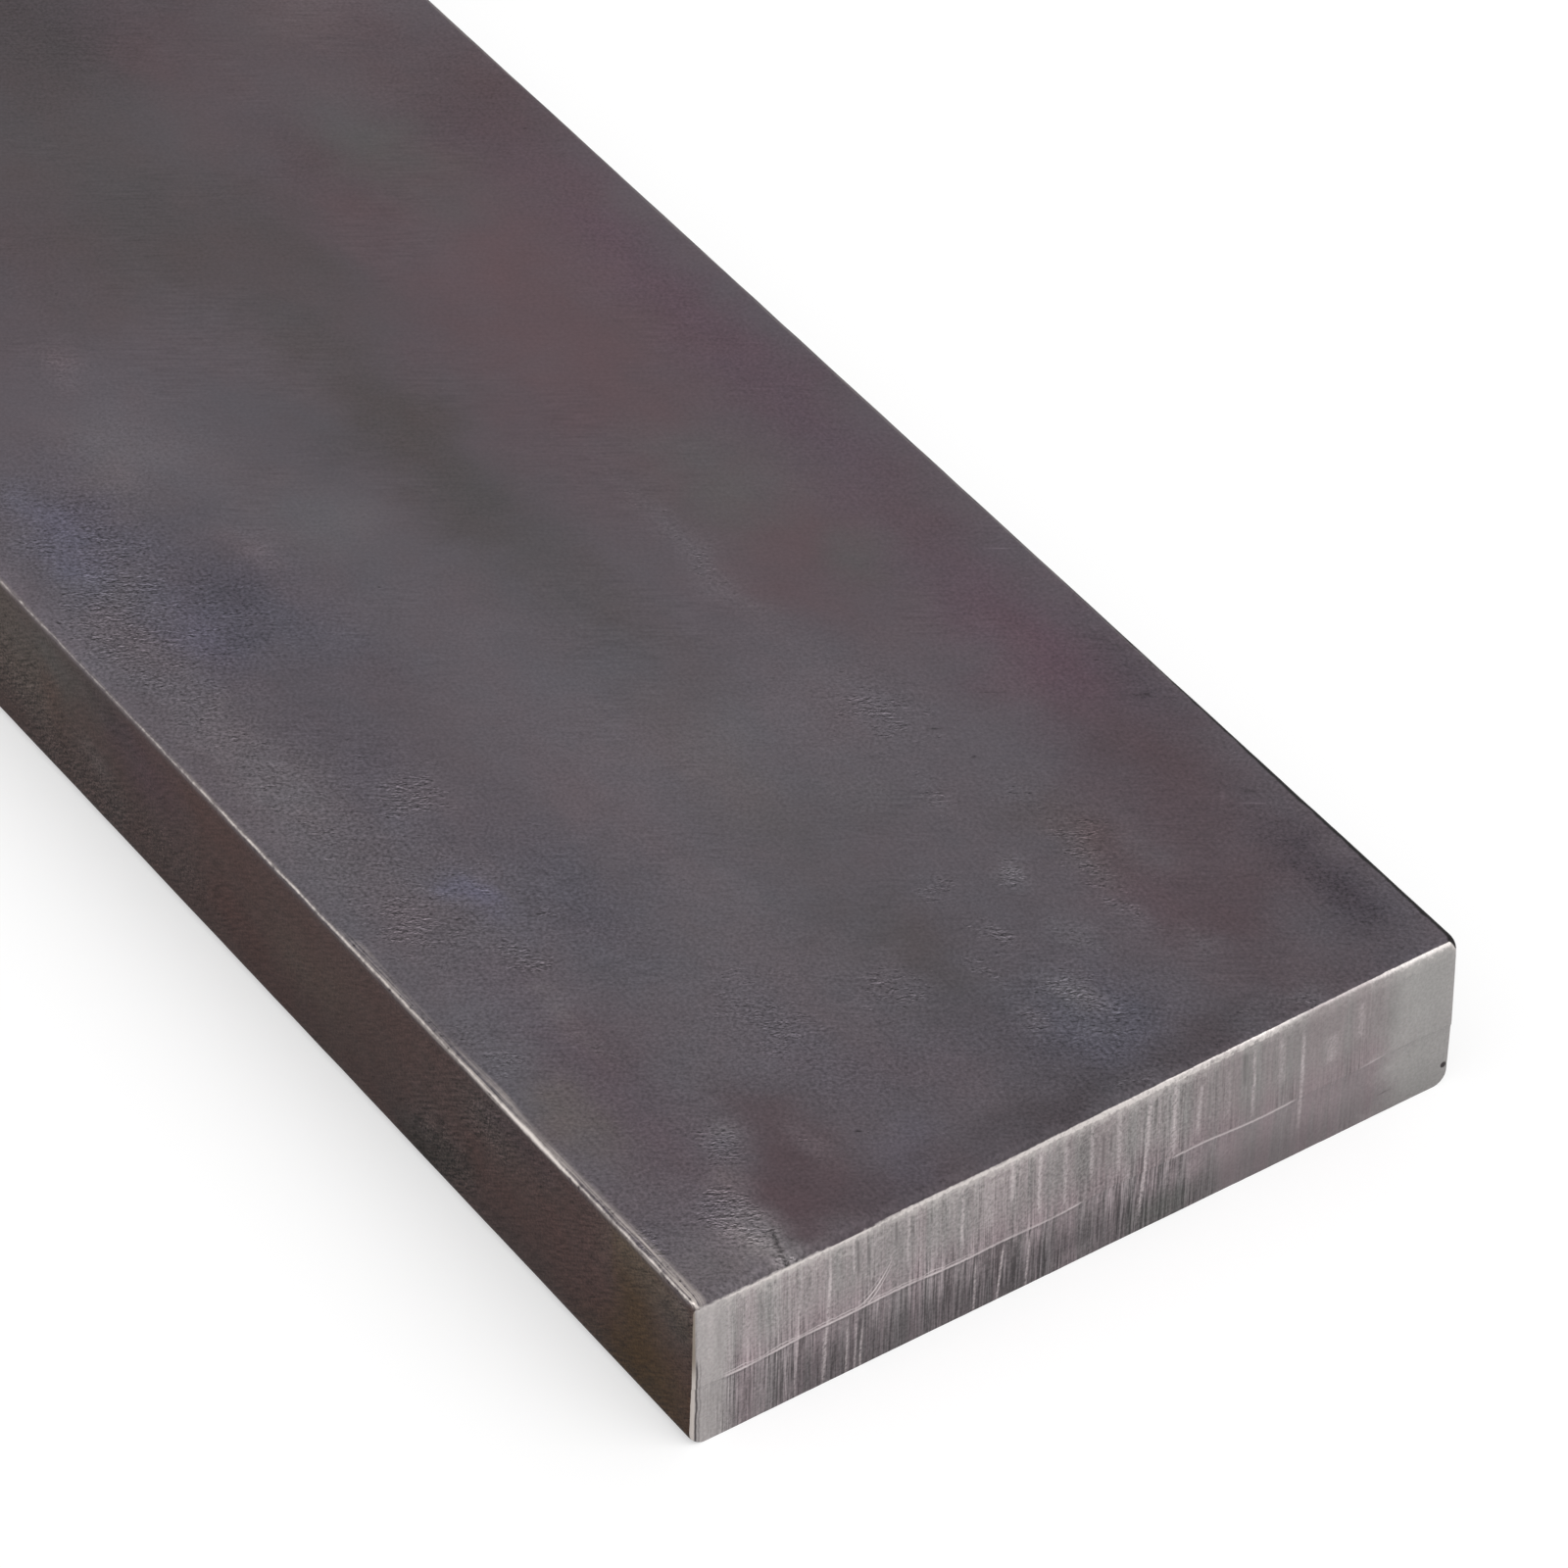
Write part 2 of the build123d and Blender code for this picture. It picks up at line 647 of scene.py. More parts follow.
# Patches near the fore end, in the order in which they are laid. Each row has a kind, and
# the inward, across, length, breadth and strength of each patch of that kind.
TOP_PATCHES = (
    (Bloom.BRONZE, (105, 18.9, 28, 10.5, 1), (67.2, 21, 9.8, 6.3, 0.8)),
    (Bloom.MAUVE, (91, 29.4, 42, 4.2, 0.8)),
    (Bloom.GREEN, (130.2, 21, 8.4, 5.6, 0.8), (76.3, 18.9, 6.3, 4.9, 0.8), (61.6, 23.1, 4.2, 2.8, 0.7)),
    (Bloom.OLIVE, (95.2, 1.4, 25.2, 4.9, 0.9), (130.2, -4.2, 12.6, 9.8, 0.7),
        (124.6, 7, 11.2, 4.2, 0.6), (70, 2.8, 9.8, 2.8, 0.5)),
    (Bloom.BROWN, (133, 30.8, 12.6, 5.6, 0.9), (131.6, 14, 8.4, 3.5, 0.6)),
    (Bloom.ASH, (58.8, -6.3, 18.2, 10.5, 0.8), (47.6, 8.4, 10.5, 7, 0.8), (105, -15.4, 11.2, 4.9, 0.7),
        (36.4, -8.4, 9.8, 4.2, 0.5)),
    (Bloom.MAUVE, (43.4, 28, 15.4, 4.9, 0.9)),
    (Bloom.BROWN, (26.6, 28, 9.8, 4.9, 0.8), (14, 23.1, 9.8, 5.6, 0.8)),
    (Bloom.MAUVE, (21, 18.2, 6.3, 2.8, 0.4)),
    (Bloom.SMOKE, (14.8, 31, 4.5, 2.2, 0.75), (7.6, 31.4, 5, 2.6, 0.75), (39.2, 32.9, 7, 2.1, 0.4)),
    (Bloom.BLUE, (98.7, -26.6, 9.1, 5.6, 1), (86.1, -23.1, 7.7, 6.3, 0.8), (78.4, -16.8, 8.4, 4.2, 0.3),
        (42, -18.9, 9.8, 5.6, 0.6), (19.6, -11.9, 7, 4.9, 0.7), (8.4, 6.3, 6.3, 5.6, 0.8),
        (15.4, -4.2, 5.6, 5.6, 0.4), (61.6, -23.8, 11.2, 4.2, 0.45)),
    (Bloom.SMOKE, (86.8, -21, 3.5, 2.8, 0.3)),
    (Bloom.CRUST, (12.1, 6.9, 3.2, 1.8, 0.9), (23.5, 17, 3.6, 1.4, 0.9)),
    (Bloom.ASH, (21.5, 21.3, 3, 1.6, 0.5)),
    (Bloom.CRUST, (25.8, 11.6, 1.5, 1, 1), (16.7, 11.8, 2.4, 1.2, 0.6), (39.6, 7, 2, 2, 0.4),
        (70.7, 12.6, 9.1, 1.4, 0.5)),
    (Bloom.OLIVE, (21.7, -1.4, 7.7, 4.9, 0.6), (40.6, -0.7, 8.4, 3.5, 0.4), (1.4, 1.4, 2.8, 16.8, 0.6)),
    (Bloom.MAUVE, (26.6, -28, 14, 4.2, 0.5)),
    (Bloom.BROWN, (8, -21, 6, 4, 1), (2.1, -15.4, 2.8, 6.3, 0.6)),
    (Bloom.SCUFF, (13.8, -23.2, 2.6, 2, 0.6), (9, -18.4, 2, 1, 0.5), (4.5, -27, 3.6, 1.7, 1)),
    (Bloom.PALE, (2, -31, 3.5, 4.5, 0.45), (3.6, -26.5, 2, 1.4, 0.55), (1, -26, 1.6, 5, 0.5)),
    (Bloom.ASH, (35, -31, 32, 3.5, 0.45), (42, -22, 16, 6, 0.35)),
    (Bloom.BROWN, (4.5, -22, 4, 2.8, 0.8)),
    (Bloom.SCUFF, (119, -16.8, 2.8, 1.4, 0.5), (91, -16.1, 2.8, 1.4, 0.4), (74.9, -29.4, 3.5, 1.4, 0.5),
        (58.8, -22.4, 2.8, 1.4, 0.4)),
    (Bloom.CRUST, (46.2, -23.8, 3.5, 1.4, 0.5)),
    (Bloom.ASH, (32.2, -32.9, 21, 2.1, 0.8)),
    (Bloom.STIPPLE, (90, -30, 12, 3.5, 0.8), (66, -29.5, 14, 4, 0.6), (46, -27, 12, 5, 0.5)),
    (Bloom.ASH, (20, -9, 7, 5, 0.8)),
    (Bloom.SMOKE, (1.5, 2, 2.4, 22, 0.4), (5.5, 1, 5, 4, 0.25)),
    (Bloom.BROWN, (63, 30, 8, 4, 0.35), (14, -20, 4.5, 2.4, 0.5)),
    (Bloom.PALE, (49, 0, 7, 4, 0.2), (105, -20, 6, 4, 0.2), (91, -10, 7, 4, 0.2),
        (27, -14, 12, 8, 0.14), (66, -30, 12, 3.5, 0.2)),
    (Bloom.GRIT, (16.8, 16, 2.4, 1.2, 0.7), (19.8, 6.9, 1.6, 1.2, 0.9)),
    (Bloom.CRUST, (10.4, 18.8, 2.4, 1.4, 0.4), (2, 20.8, 1.6, 2, 0.5), (1, 5.8, 1.4, 3, 0.35)),
    (Bloom.GRIT, (17, 3.3, 2, 1, 0.6), (10.8, 2.9, 2.5, 1.2, 0.7), (27, 6.5, 1.6, 1.5, 0.6),
        (46.5, 13.5, 5, 4, 0.6), (35, 11.7, 2.5, 1.2, 0.7), (33, 16.7, 2.5, 1.2, 0.5),
        (6.8, -27.5, 1.6, 1.4, 0.9), (6.9, -33.4, 1.5, 0.9, 1), (38.3, -25.2, 2.4, 1.4, 0.9)),
    (Bloom.BROWN, (27.5, -25, 3, 1.6, 0.6)),
    (Bloom.GRIT, (27, -25.2, 2.4, 1.2, 0.45)),
    (Bloom.PALE, (31.5, -25.4, 3.5, 0.7, 0.3)),
    (Bloom.GRIT, (46.7, -30.8, 3.6, 2.6, 0.8), (31.3, -32.8, 3.5, 1.2, 0.7),
        (58.2, -22.4, 1.8, 1.8, 0.8), (58, -19.2, 3, 1.6, 0.5), (42.5, -20, 2, 1.2, 0.5),
        (20, -4, 2.4, 2.4, 0.6), (22, -13.5, 6, 2.4, 0.6), (92, -28, 7, 4, 0.6)),
    (Bloom.BROWN, (6.5, -22.6, 3.4, 1.5, 0.8), (3.8, -24, 2.8, 1.3, 1)),
    (Bloom.GRIT, (13.6, -24.2, 2.6, 1.5, 0.9)),
    (Bloom.CHALK, (14.6, -22.8, 1.8, 0.8, 0.15), (9.2, -25.6, 2, 0.9, 0.2)),
    (Bloom.GRIT, (6, -26.4, 1.8, 1.2, 0.6)),
    (Bloom.CHALK, (5.2, -26, 1.6, 0.9, 0.15), (2.4, -27, 2.4, 1.2, 0.4)),
    (Bloom.VIOLET, (45.8, -24.2, 3, 1.3, 0.8)),
    (Bloom.SAND, (21.5, -31.5, 5, 2.4, 0.4)),
    (Bloom.ASH, (77, 21, 8, 5, 0.3)),
    (Bloom.OLIVE, (160, 4.5, 14, 12, 0.95), (144, -1, 12, 10, 0.5)),
    (Bloom.BRONZE, (151, 13, 8, 6, 0.45)),
    (Bloom.BROWN, (134, -13, 9, 6, 0.35)),
    (Bloom.BRONZE, (147, 26, 12, 6, 0.4)),
    (Bloom.FLECK, (25, 18.3, 5.5, 2.6, 0.5)),
    (Bloom.OLIVE, (30, 16.5, 3.5, 3, 0.25), (38.5, 6, 5, 4, 0.28), (56, 1.5, 5, 5, 0.22)),
    (Bloom.SMOKE, (1.5, 6.5, 1.8, 3, 0.12)),
    (Bloom.CRUST, (0.8, 16.8, 1.2, 1.4, 0.2)),
    (Bloom.SMOKE, (1.2, 27.5, 1.6, 2, 0.15), (161, 6, 10, 9, 0.35)),
    (Bloom.BROWN, (156, 13, 7, 5, 0.45)),
    (Bloom.OLIVE, (150, 21, 6, 5, 0.3)),
    (Bloom.BROWN, (148, 25.5, 10, 5, 0.3), (23, 18.6, 4.5, 2.6, 0.3)),
    (Bloom.ASH, (4, -12.2, 3, 2.6, 0.5)),
    (Bloom.VIOLET, (4, -12.2, 3, 2.6, 0.2)),
    (Bloom.ASH, (2.6, -8.6, 2.5, 2.6, 0.4)),
    (Bloom.VIOLET, (101.5, -28, 4, 2, 0.45), (96.5, -29.5, 3.5, 1.8, 0.5), (85.5, -25.5, 4, 2, 0.4)),
)

NEAR_PATCHES = (
    (Bloom.GREEN, (94, 12.5, 8, 4, 0.9)),
    (Bloom.OLIVE, (84, 13.8, 5, 2, 0.5)),
    (Bloom.SMOKE, (81, 12.8, 3.5, 1.6, 0.4)),
    (Bloom.MAUVE, (77, 11, 5, 3.5, 0.5)),
    (Bloom.FLECK, (96, 6.5, 5, 4, 0.9), (86, 3, 9, 3, 0.7), (72, 5, 8, 4, 0.5)),
    (Bloom.RUST, (91.6, 9, 2, 2, 0.7), (62, 5, 5, 4.5, 0.45), (53, 8.6, 4, 1.6, 0.2)),
    (Bloom.SCUFF, (85, 6.8, 2, 1.4, 0.45)),
    (Bloom.OLIVE, (38, 2.5, 5, 2.5, 0.8), (24, 1.5, 6, 2.5, 0.5)),
    (Bloom.FLECK, (34, 4, 4.5, 3.5, 0.9), (28, 11.5, 5, 3.5, 0.8)),
    (Bloom.SMOKE, (24, 13.6, 6, 1.8, 0.4)),
    (Bloom.RUST, (29.5, 7.2, 2.5, 2, 0.5)),
    (Bloom.OLIVE, (5, 11.5, 5, 3, 0.7)),
    (Bloom.SAND, (7, 14.2, 4, 1.3, 0.9), (9, 12, 3, 2, 0.4)),
    (Bloom.OCHRE, (12, 1, 6, 3, 0.4), (7.5, 7, 2.8, 6, 0.9), (6, 3, 5.5, 4.5, 0.9)),
    (Bloom.CRUST, (2, 13.8, 2, 1.2, 0.4), (2.5, 11, 1.6, 1.6, 0.2)),
    (Bloom.SAND, (4.5, 12.8, 4.5, 2.4, 0.3)),
    (Bloom.PITCH, (2.6, 11.2, 0.9, 0.8, 0.45)),
    (Bloom.SAND, (96, 10, 9, 6, 0.42), (52, 8, 6, 3.5, 0.28), (85, 6.8, 2, 1.2, 0.35)),
    (Bloom.PITCH, (37.5, 1.2, 3.5, 2, 0.85), (33.5, 3.6, 2.2, 1.6, 0.7), (30.5, 6, 2, 1.3, 0.35),
        (9, 1.5, 5, 2, 0.22), (24, 2, 5, 2, 0.12)),
)


def laid(rows: tuple[tuple[Any, ...], ...], side: Side) -> tuple[Patch, ...]:
    """Patches of one face.

    Args:
        rows: Rows of a table of patches.
        side: The face that they lie on.

    Returns:
        The patches, in the table's order.
    """
    return tuple(Patch(bloom, *sizes, side) for bloom, *each in rows for sizes in each)


# Wear of the near upper corner: millimetres from the fore end, brightness and scuffing.
NEAR_WEAR = (
    (0, 0.36, 1), (5, 0.3, 0.92), (9, 0.36, 0.75), (14, 0.24, 0.65), (16.5, 0.45, 0.55),
    (18.5, 0.88, 0.6), (22.5, 1, 0.5), (24.3, 0.55, 0.6), (26, 0.42, 0.8), (30, 0.32, 0.6),
    (34, 0.18, 0.45), (38, 0.24, 0.5), (42, 0.24, 0.5), (46, 0.3, 0.7), (50, 0.38, 0.1),
    (54, 0.28, 0.1), (58, 0.38, 0.15), (62, 0.36, 0.15), (66, 0.25, 0.1), (72, 0.19, 0.15),
    (78, 0.09, 0.15), (86, 0.08, 0.06), (98, 0.13, 0.06),
)


@dataclass(frozen=True)
class Weathering:
    """Tone, pitting and wear of the rolled skin, worked out for every point.

    The top and the near side have the tables' patches up to shown_reach from the fore
    end. All others are drawn at random, within the spans given here. Next come how far
    grain spreads from handling, by the fore end and along the top's near edge, and where
    that edge is pale. Lengths are in millimetres, unless they are multiples of MM.
    """

    section: Section
    half_length: float
    seed: int = 41
    corner_blend: float = 0.6 * MM
    shown_reach: float = 145.0
    spread_count: int = 210
    spread_lengths: Span = (4, 24)
    spread_strengths: Span = (0.3, 0.9)
    broad_places: Span = (-34, 34)
    broad_breadths: Span = (3, 10)
    narrow_places: Span = (1, 14)
    narrow_breadths: Span = (2, 5)
    handled_reach: float = 42.0
    rubbed_reach: float = 100.0
    rubbed_breadth: float = 9.0 * MM
    pale_middle: float = 92.0
    pale_reach: float = 16.0
    pale_breadth: float = 1.6

    def patches(self) -> list[Patch]:
        """The patches near the fore end, and random ones of the same kinds beyond.

        Returns:
            All patches, in the order in which they are laid.
        """
        draw = np.random.default_rng(self.seed)
        kinds = list(Bloom)
        sides = list(Side)
        spread = []
        for _ in range(self.spread_count):
            side = sides[int(draw.integers(len(sides)))]
            places, breadths = self.narrow_places, self.narrow_breadths
            if side.broad:
                places, breadths = self.broad_places, self.broad_breadths
            nearest = self.shown_reach if side in (Side.TOP, Side.NEAR) else 0.0
            inward = float(draw.uniform(nearest, 2 * self.half_length / MM))
            across = float(draw.uniform(*places))
            length = float(draw.uniform(*self.spread_lengths))
            breadth = float(draw.uniform(*breadths))
            bloom = kinds[int(draw.integers(len(kinds)))]
            if bloom in (Bloom.CRUST, Bloom.SCUFF):
                length, breadth = length / 4, breadth / 3
            strength = float(draw.uniform(*self.spread_strengths))
            spread.append(Patch(bloom, inward, across, length, breadth, strength, side))
        return [*laid(TOP_PATCHES, Side.TOP), *laid(NEAR_PATCHES, Side.NEAR), *spread]

    def side_shares(self, points: Array) -> dict[Side, Array]:
        """How far each point belongs to each long face, blended at the corners.

        Args:
            points: Places as an (n, 3) array, in metres.

        Returns:
            For each face, one share from 0 to 1 for each point.
        """
        blend = self.corner_blend
        inner = ease((self.section.width / 2 - np.abs(points[:, 1])) / blend)
        raised = points[:, 2] > self.section.thickness / 2
        upper = ease((points[:, 2] - self.section.thickness + blend) / blend)
        lower = ease((blend - points[:, 2]) / blend)
        upper = np.maximum(upper, inner * raised)
        lower = np.maximum(lower, inner * ~raised)
        upright = 1 - np.maximum(upper, lower)
        near = points[:, 1] < 0
        return {
            Side.TOP: upper,
            Side.UNDER: lower,
            Side.NEAR: upright * near,
            Side.FAR: upright * ~near,
        }

    def paint(self, points: Array) -> dict[str, Array]:
        """Tone, grain and crust of every point.

        Each patch weighs strength * exp(-(u^2 + v^2)), with u and v the distances from
        its middle over its half sizes. Slow noise bends them and fine noise frays them,
        so that its outline wanders and breaks up. The tone moves towards the patch's by
        that weight.

        Args:
            points: Places as an (n, 3) array, in metres.

        Returns:
            Tones as an (n, 3) array, and grain and crust as (n,), by name.
        """
        shares = self.side_shares(points)
        inward = (self.half_length - points[:, 0]) / MM
        tone = sum(shares[side][:, None] * np.array(side.value) for side in Side)
        grain = self._handled(points, inward, shares[Side.TOP])
        crust = np.zeros(len(points))
        bend = RandomField(self.seed + 1)
        bend_x = 0.5 * bend.at(points, 8.5 * MM, 3)
        bend_y = 0.5 * bend.at(points[:, [1, 2, 0]], 6.5 * MM, 3)
        fray_x = 2.2 * bend.at(points, 2.6 * MM, 2)
        fray_y = 1.4 * bend.at(points[:, [2, 0, 1]], 2.6 * MM, 2)
        for patch in self.patches():
            across = points[:, 1 if patch.side.broad else 2] / MM
            u = (inward + fray_x - patch.inward) / patch.length + bend_x
            v = (across + fray_y - patch.across) / patch.breadth + bend_y
            weight = patch.strength * np.exp(-(u * u + v * v)) * shares[patch.side]
            tone += weight[:, None] * (np.array(patch.bloom.tone) - tone)
            grain += weight * (patch.bloom.grain - grain)
            crust += weight * (patch.bloom.crust - crust)
        tone = self._clouded(points, inward, tone, shares)
        return {"tone": tone, "grain": np.clip(grain, 0, 1), "crust": np.clip(crust, 0, 1)}

    def _handled(self, points: Array, inward: Array, on_top: Array) -> Array:
        """Grain before the patches: more by the fore end and along the top's near edge.

        Args:
            points: Places as an (n, 3) array, in metres.
            inward: Distance of each from the fore end, in millimetres.
            on_top: How far each belongs to the top, from 0 to 1.

        Returns:
            One value for each point.
        """
        handled = 0.26 * hill(inward, self.handled_reach)
        rubbed = 0.3 * hill(points[:, 1] + self.section.width / 2, self.rubbed_breadth)
        grain = 0.04 + handled + on_top * rubbed * hill(inward, self.rubbed_reach, 4)
        return grain + 0.12 * RandomField(self.seed + 2).at(points, 9 * MM, 3)

    def _clouded(self, points: Array, inward: Array, tone: Array, shares: dict[Side, Array]) -> Array:
        """Tone under slow clouds of light and of warmth, with a pale rim and darker feet.

        The rim lies along the top's near edge and is palest round pale_middle. The
        narrow sides darken downwards.

        Args:
            points: Places as an (n, 3) array, in metres.
            inward: Distance of each from the fore end, in millimetres.
            tone: Tones as an (n, 3) array.
            shares: How far each point belongs to each long face.

        Returns:
            The new tones.
        """
        cloud = RandomField(self.seed + 3).at(points, (15 * MM, 9 * MM, 9 * MM), 3)
        warm = RandomField(self.seed + 4).at(points, (18 * MM, 10 * MM, 10 * MM), 3)
        tone = tone * (1 + 0.1 * cloud[:, None])
        tone = tone * (1 + warm[:, None] * np.array([0.04, -0.02, -0.02]))
        from_near = (points[:, 1] + self.section.width / 2) / MM
        pale = 0.22 * hill(from_near, self.pale_breadth)
        pale = pale * hill(inward - self.pale_middle, self.pale_reach, 4)
        tone = tone * (1 + (shares[Side.TOP] * (0.06 * np.exp(-from_near / 1.2) + pale))[:, None])
        low = (shares[Side.NEAR] + shares[Side.FAR]) * (1 - points[:, 2] / self.section.thickness)
        return tone * (1 - 0.26 * low[:, None])

    def edge_wear(self, points: Array) -> dict[str, Array]:
        """How far the long corners are rubbed bright and scuffed along the bar, from 0 to 1.

        The near upper corner follows the knots of NEAR_WEAR. The others are worn a
        little, and slow noise along the bar makes both wander.

        Args:
            points: Places as an (n, 3) array, in metres.

        Returns:
            The brightness of the rubbed line and the reach of the scuffs, by name.
        """
        near_top = (points[:, 1] < 0) & (points[:, 2] > self.section.thickness / 2)
        inward = (self.half_length - points[:, 0]) / MM
        wander = RandomField(self.seed + 5).at(points, (20 * MM, 300 * MM, 300 * MM), 3)
        knots = np.array(NEAR_WEAR).T
        bright = np.where(near_top, np.interp(inward, knots[0], knots[1]), 0.12)
        scuffed = np.where(near_top, np.interp(inward, knots[0], knots[2]), 0.08)
        beyond = ease((inward - knots[0, -1]) / 20)
        shift = wander * (0.08 + 0.3 * beyond)
        return {"worn": np.clip(bright + shift, 0, 1), "scuffed": np.clip(scuffed + shift, 0, 1)}


@dataclass(frozen=True)
class Relief:
    """How far each point is sunk below the bar's box, in metres."""

    section: Section
    marks: ShearMarks
    seed: int = 97
    scale_depth: float = 0.025 * MM
    edge_depth: float = 0.05 * MM
    edge_reach: float = 0.9 * MM
    lip_depth: float = 0.05 * MM
    ridge_depth: float = 0.035 * MM

    def depth(self, points: Array, sheared: Array, above_break: Array) -> Array:
        """Depth of every point.

        The rolled skin is sunk by slow noise, the long corners and the rollover by
        noise that follows them, and the cut face by ridges that run along Z, which are
        deeper on the fracture than on the land.

        Args:
            points: Places as an (n, 3) array.
            sheared: From 0 on the rolled skin to 1 at the cut face's rim and 2 in its middle.
            above_break: Height over the break line in millimetres.

        Returns:
            A depth of 0 or more for each point.
        """
        skin = RandomField(self.seed).at(points, (5 * MM, 3.5 * MM, 3.5 * MM), 3)
        depth = self.scale_depth * (0.5 + 0.5 * skin)
        from_corner = (
            self.section.width / 2
            - np.abs(points[:, 1])
            + np.minimum(points[:, 2], self.section.thickness - points[:, 2])
        )
        worn = RandomField(self.seed + 1).at(points, (3.5 * MM, 30 * MM, 30 * MM), 3)
        by_corner = hill(np.clip(from_corner, 0, None), self.edge_reach)
        depth += self.edge_depth * by_corner * np.clip(0.2 + worn, 0, 1)
        lip = RandomField(self.seed + 2).at(points, (30 * MM, 2.2 * MM, 30 * MM), 3)
        entry_height = (self.section.thickness - self.marks.fracture_height) / MM
        by_lip = np.minimum(sheared, 1) * ease((above_break - entry_height + 2) / 1.4)
        depth += self.lip_depth * by_lip * np.clip(0.3 + lip, 0, 1)
        ridges = RandomField(self.seed + 3).at(points, (40 * MM, 0.8 * MM, 30 * MM), 2)
        broken = ease((0.2 - above_break) / 0.4)
        cut = ease((sheared - 0.9) / 0.1)
        depth += self.ridge_depth * cut * (0.35 + 0.65 * broken) * (0.5 + 0.5 * ridges)
        return depth


@dataclass
class FlatBar:
    """The whole bar as one closed mesh, with its sizes taken from the frame's box.

    Edges that turn by more than crease_angle, in degrees, stay sharp.
    """

    length: float
    width: float
    thickness: float
    marks: ShearMarks = ShearMarks()
    name: str = "hot_rolled_flat"
    crease_angle: float = 38.0

    @classmethod
    def from_frame(cls, node: str) -> "FlatBar":
        """A bar of the size that the frame gives for its node.

        Args:
            node: The node's name.

        Returns:
            The bar, not built yet.
        """
        low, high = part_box(node)
        size = high - low
        return cls(length=size.x, width=size.y, thickness=size.z)

    @property
    def half_sizes(self) -> Triple:
        """Half the length, width and thickness in millimetres, which the material counts in."""
        return self.length / 2 / MM, self.width / 2 / MM, self.thickness / 2 / MM

    def build(self) -> bpy.types.Object:
        """Makes the bar's mesh, sinks its relief and stores its attributes.

        Returns:
            The new object, at the origin, with its place in its mesh.
        """
        section = Section(self.width, self.thickness)
        half = self.length / 2
        skin = Skin()
        end = ShearedEnd(section, self.marks, half)
        fore = end.build(skin, End.FORE)
        rear = end.build(skin, End.REAR)
        RolledLength(section, half).build(skin, fore, rear, self.marks.reach)
        points = np.concatenate(skin.points)
        sheared = np.concatenate(skin.sheared)
        above_break = np.concatenate(skin.above_break)
        mesh = self._mesh(points, skin.faces)
        normals = np.empty(3 * len(points), np.float32)
        mesh.vertex_normals.foreach_get("vector", normals)
        depth = Relief(section, self.marks).depth(points, sheared, above_break)
        sunk = points - depth[:, None] * normals.reshape(-1, 3)
        low = np.array([-half, -self.width / 2, 0.0])
        high = np.array([half, self.width / 2, self.thickness])
        sunk = np.clip(sunk, low, high)
        mesh.vertices.foreach_set("co", sunk.ravel().astype(np.float32))
        weathering = Weathering(section, half)
        layers = weathering.paint(points) | weathering.edge_wear(points)
        layers |= {"sheared": sheared, "above_break": above_break}
        for name, values in layers.items():
            self._store(mesh, name, values)
        mesh.update()
        bar = bpy.data.objects.new(self.name, mesh)
        bpy.context.scene.collection.objects.link(bar)
        return bar

    def _mesh(self, points: Array, faces: list[Array]) -> bpy.types.Mesh:
        """Puts points and faces into a smooth mesh whose sharp edges stay sharp.

        Args:
            points: Places as an (n, 3) array.
            faces: Arrays of point numbers, one row for each face.

        Returns:
            The new mesh.
        """
        mesh = bpy.data.meshes.new(self.name)
        sizes = np.concatenate([np.full(len(f), f.shape[1]) for f in faces])
        corners = np.concatenate([f.ravel() for f in faces])
        mesh.vertices.add(len(points))
        mesh.vertices.foreach_set("co", points.ravel().astype(np.float32))
        mesh.loops.add(len(corners))
        mesh.loops.foreach_set("vertex_index", corners.astype(np.int32))
        mesh.polygons.add(len(sizes))
        starts = np.concatenate([[0], np.cumsum(sizes)[:-1]])
        mesh.polygons.foreach_set("loop_start", starts.astype(np.int32))
        mesh.polygons.foreach_set("use_smooth", np.ones(len(sizes), bool))
        mesh.update(calc_edges=True)
        mesh.validate()
        mesh.set_sharp_from_angle(angle=math.radians(self.crease_angle))
        return mesh

    @staticmethod
    def _store(mesh: bpy.types.Mesh, name: str, values: Array) -> None:
        """Stores one number, or one colour, for each point under a name.

        Args:
            mesh: The mesh that keeps them.
            name: The attribute's name.
            values: An (n,) array of numbers or an (n, 3) array of colours.
        """
        coloured = values.ndim == 2
        kind, slot = ("FLOAT_VECTOR", "vector") if coloured else ("FLOAT", "value")
        attribute = mesh.attributes.new(name, kind, "POINT")
        attribute.data.foreach_set(slot, values.ravel().astype(np.float32))


# ---- Shader maths ---------------------------------------------------------------


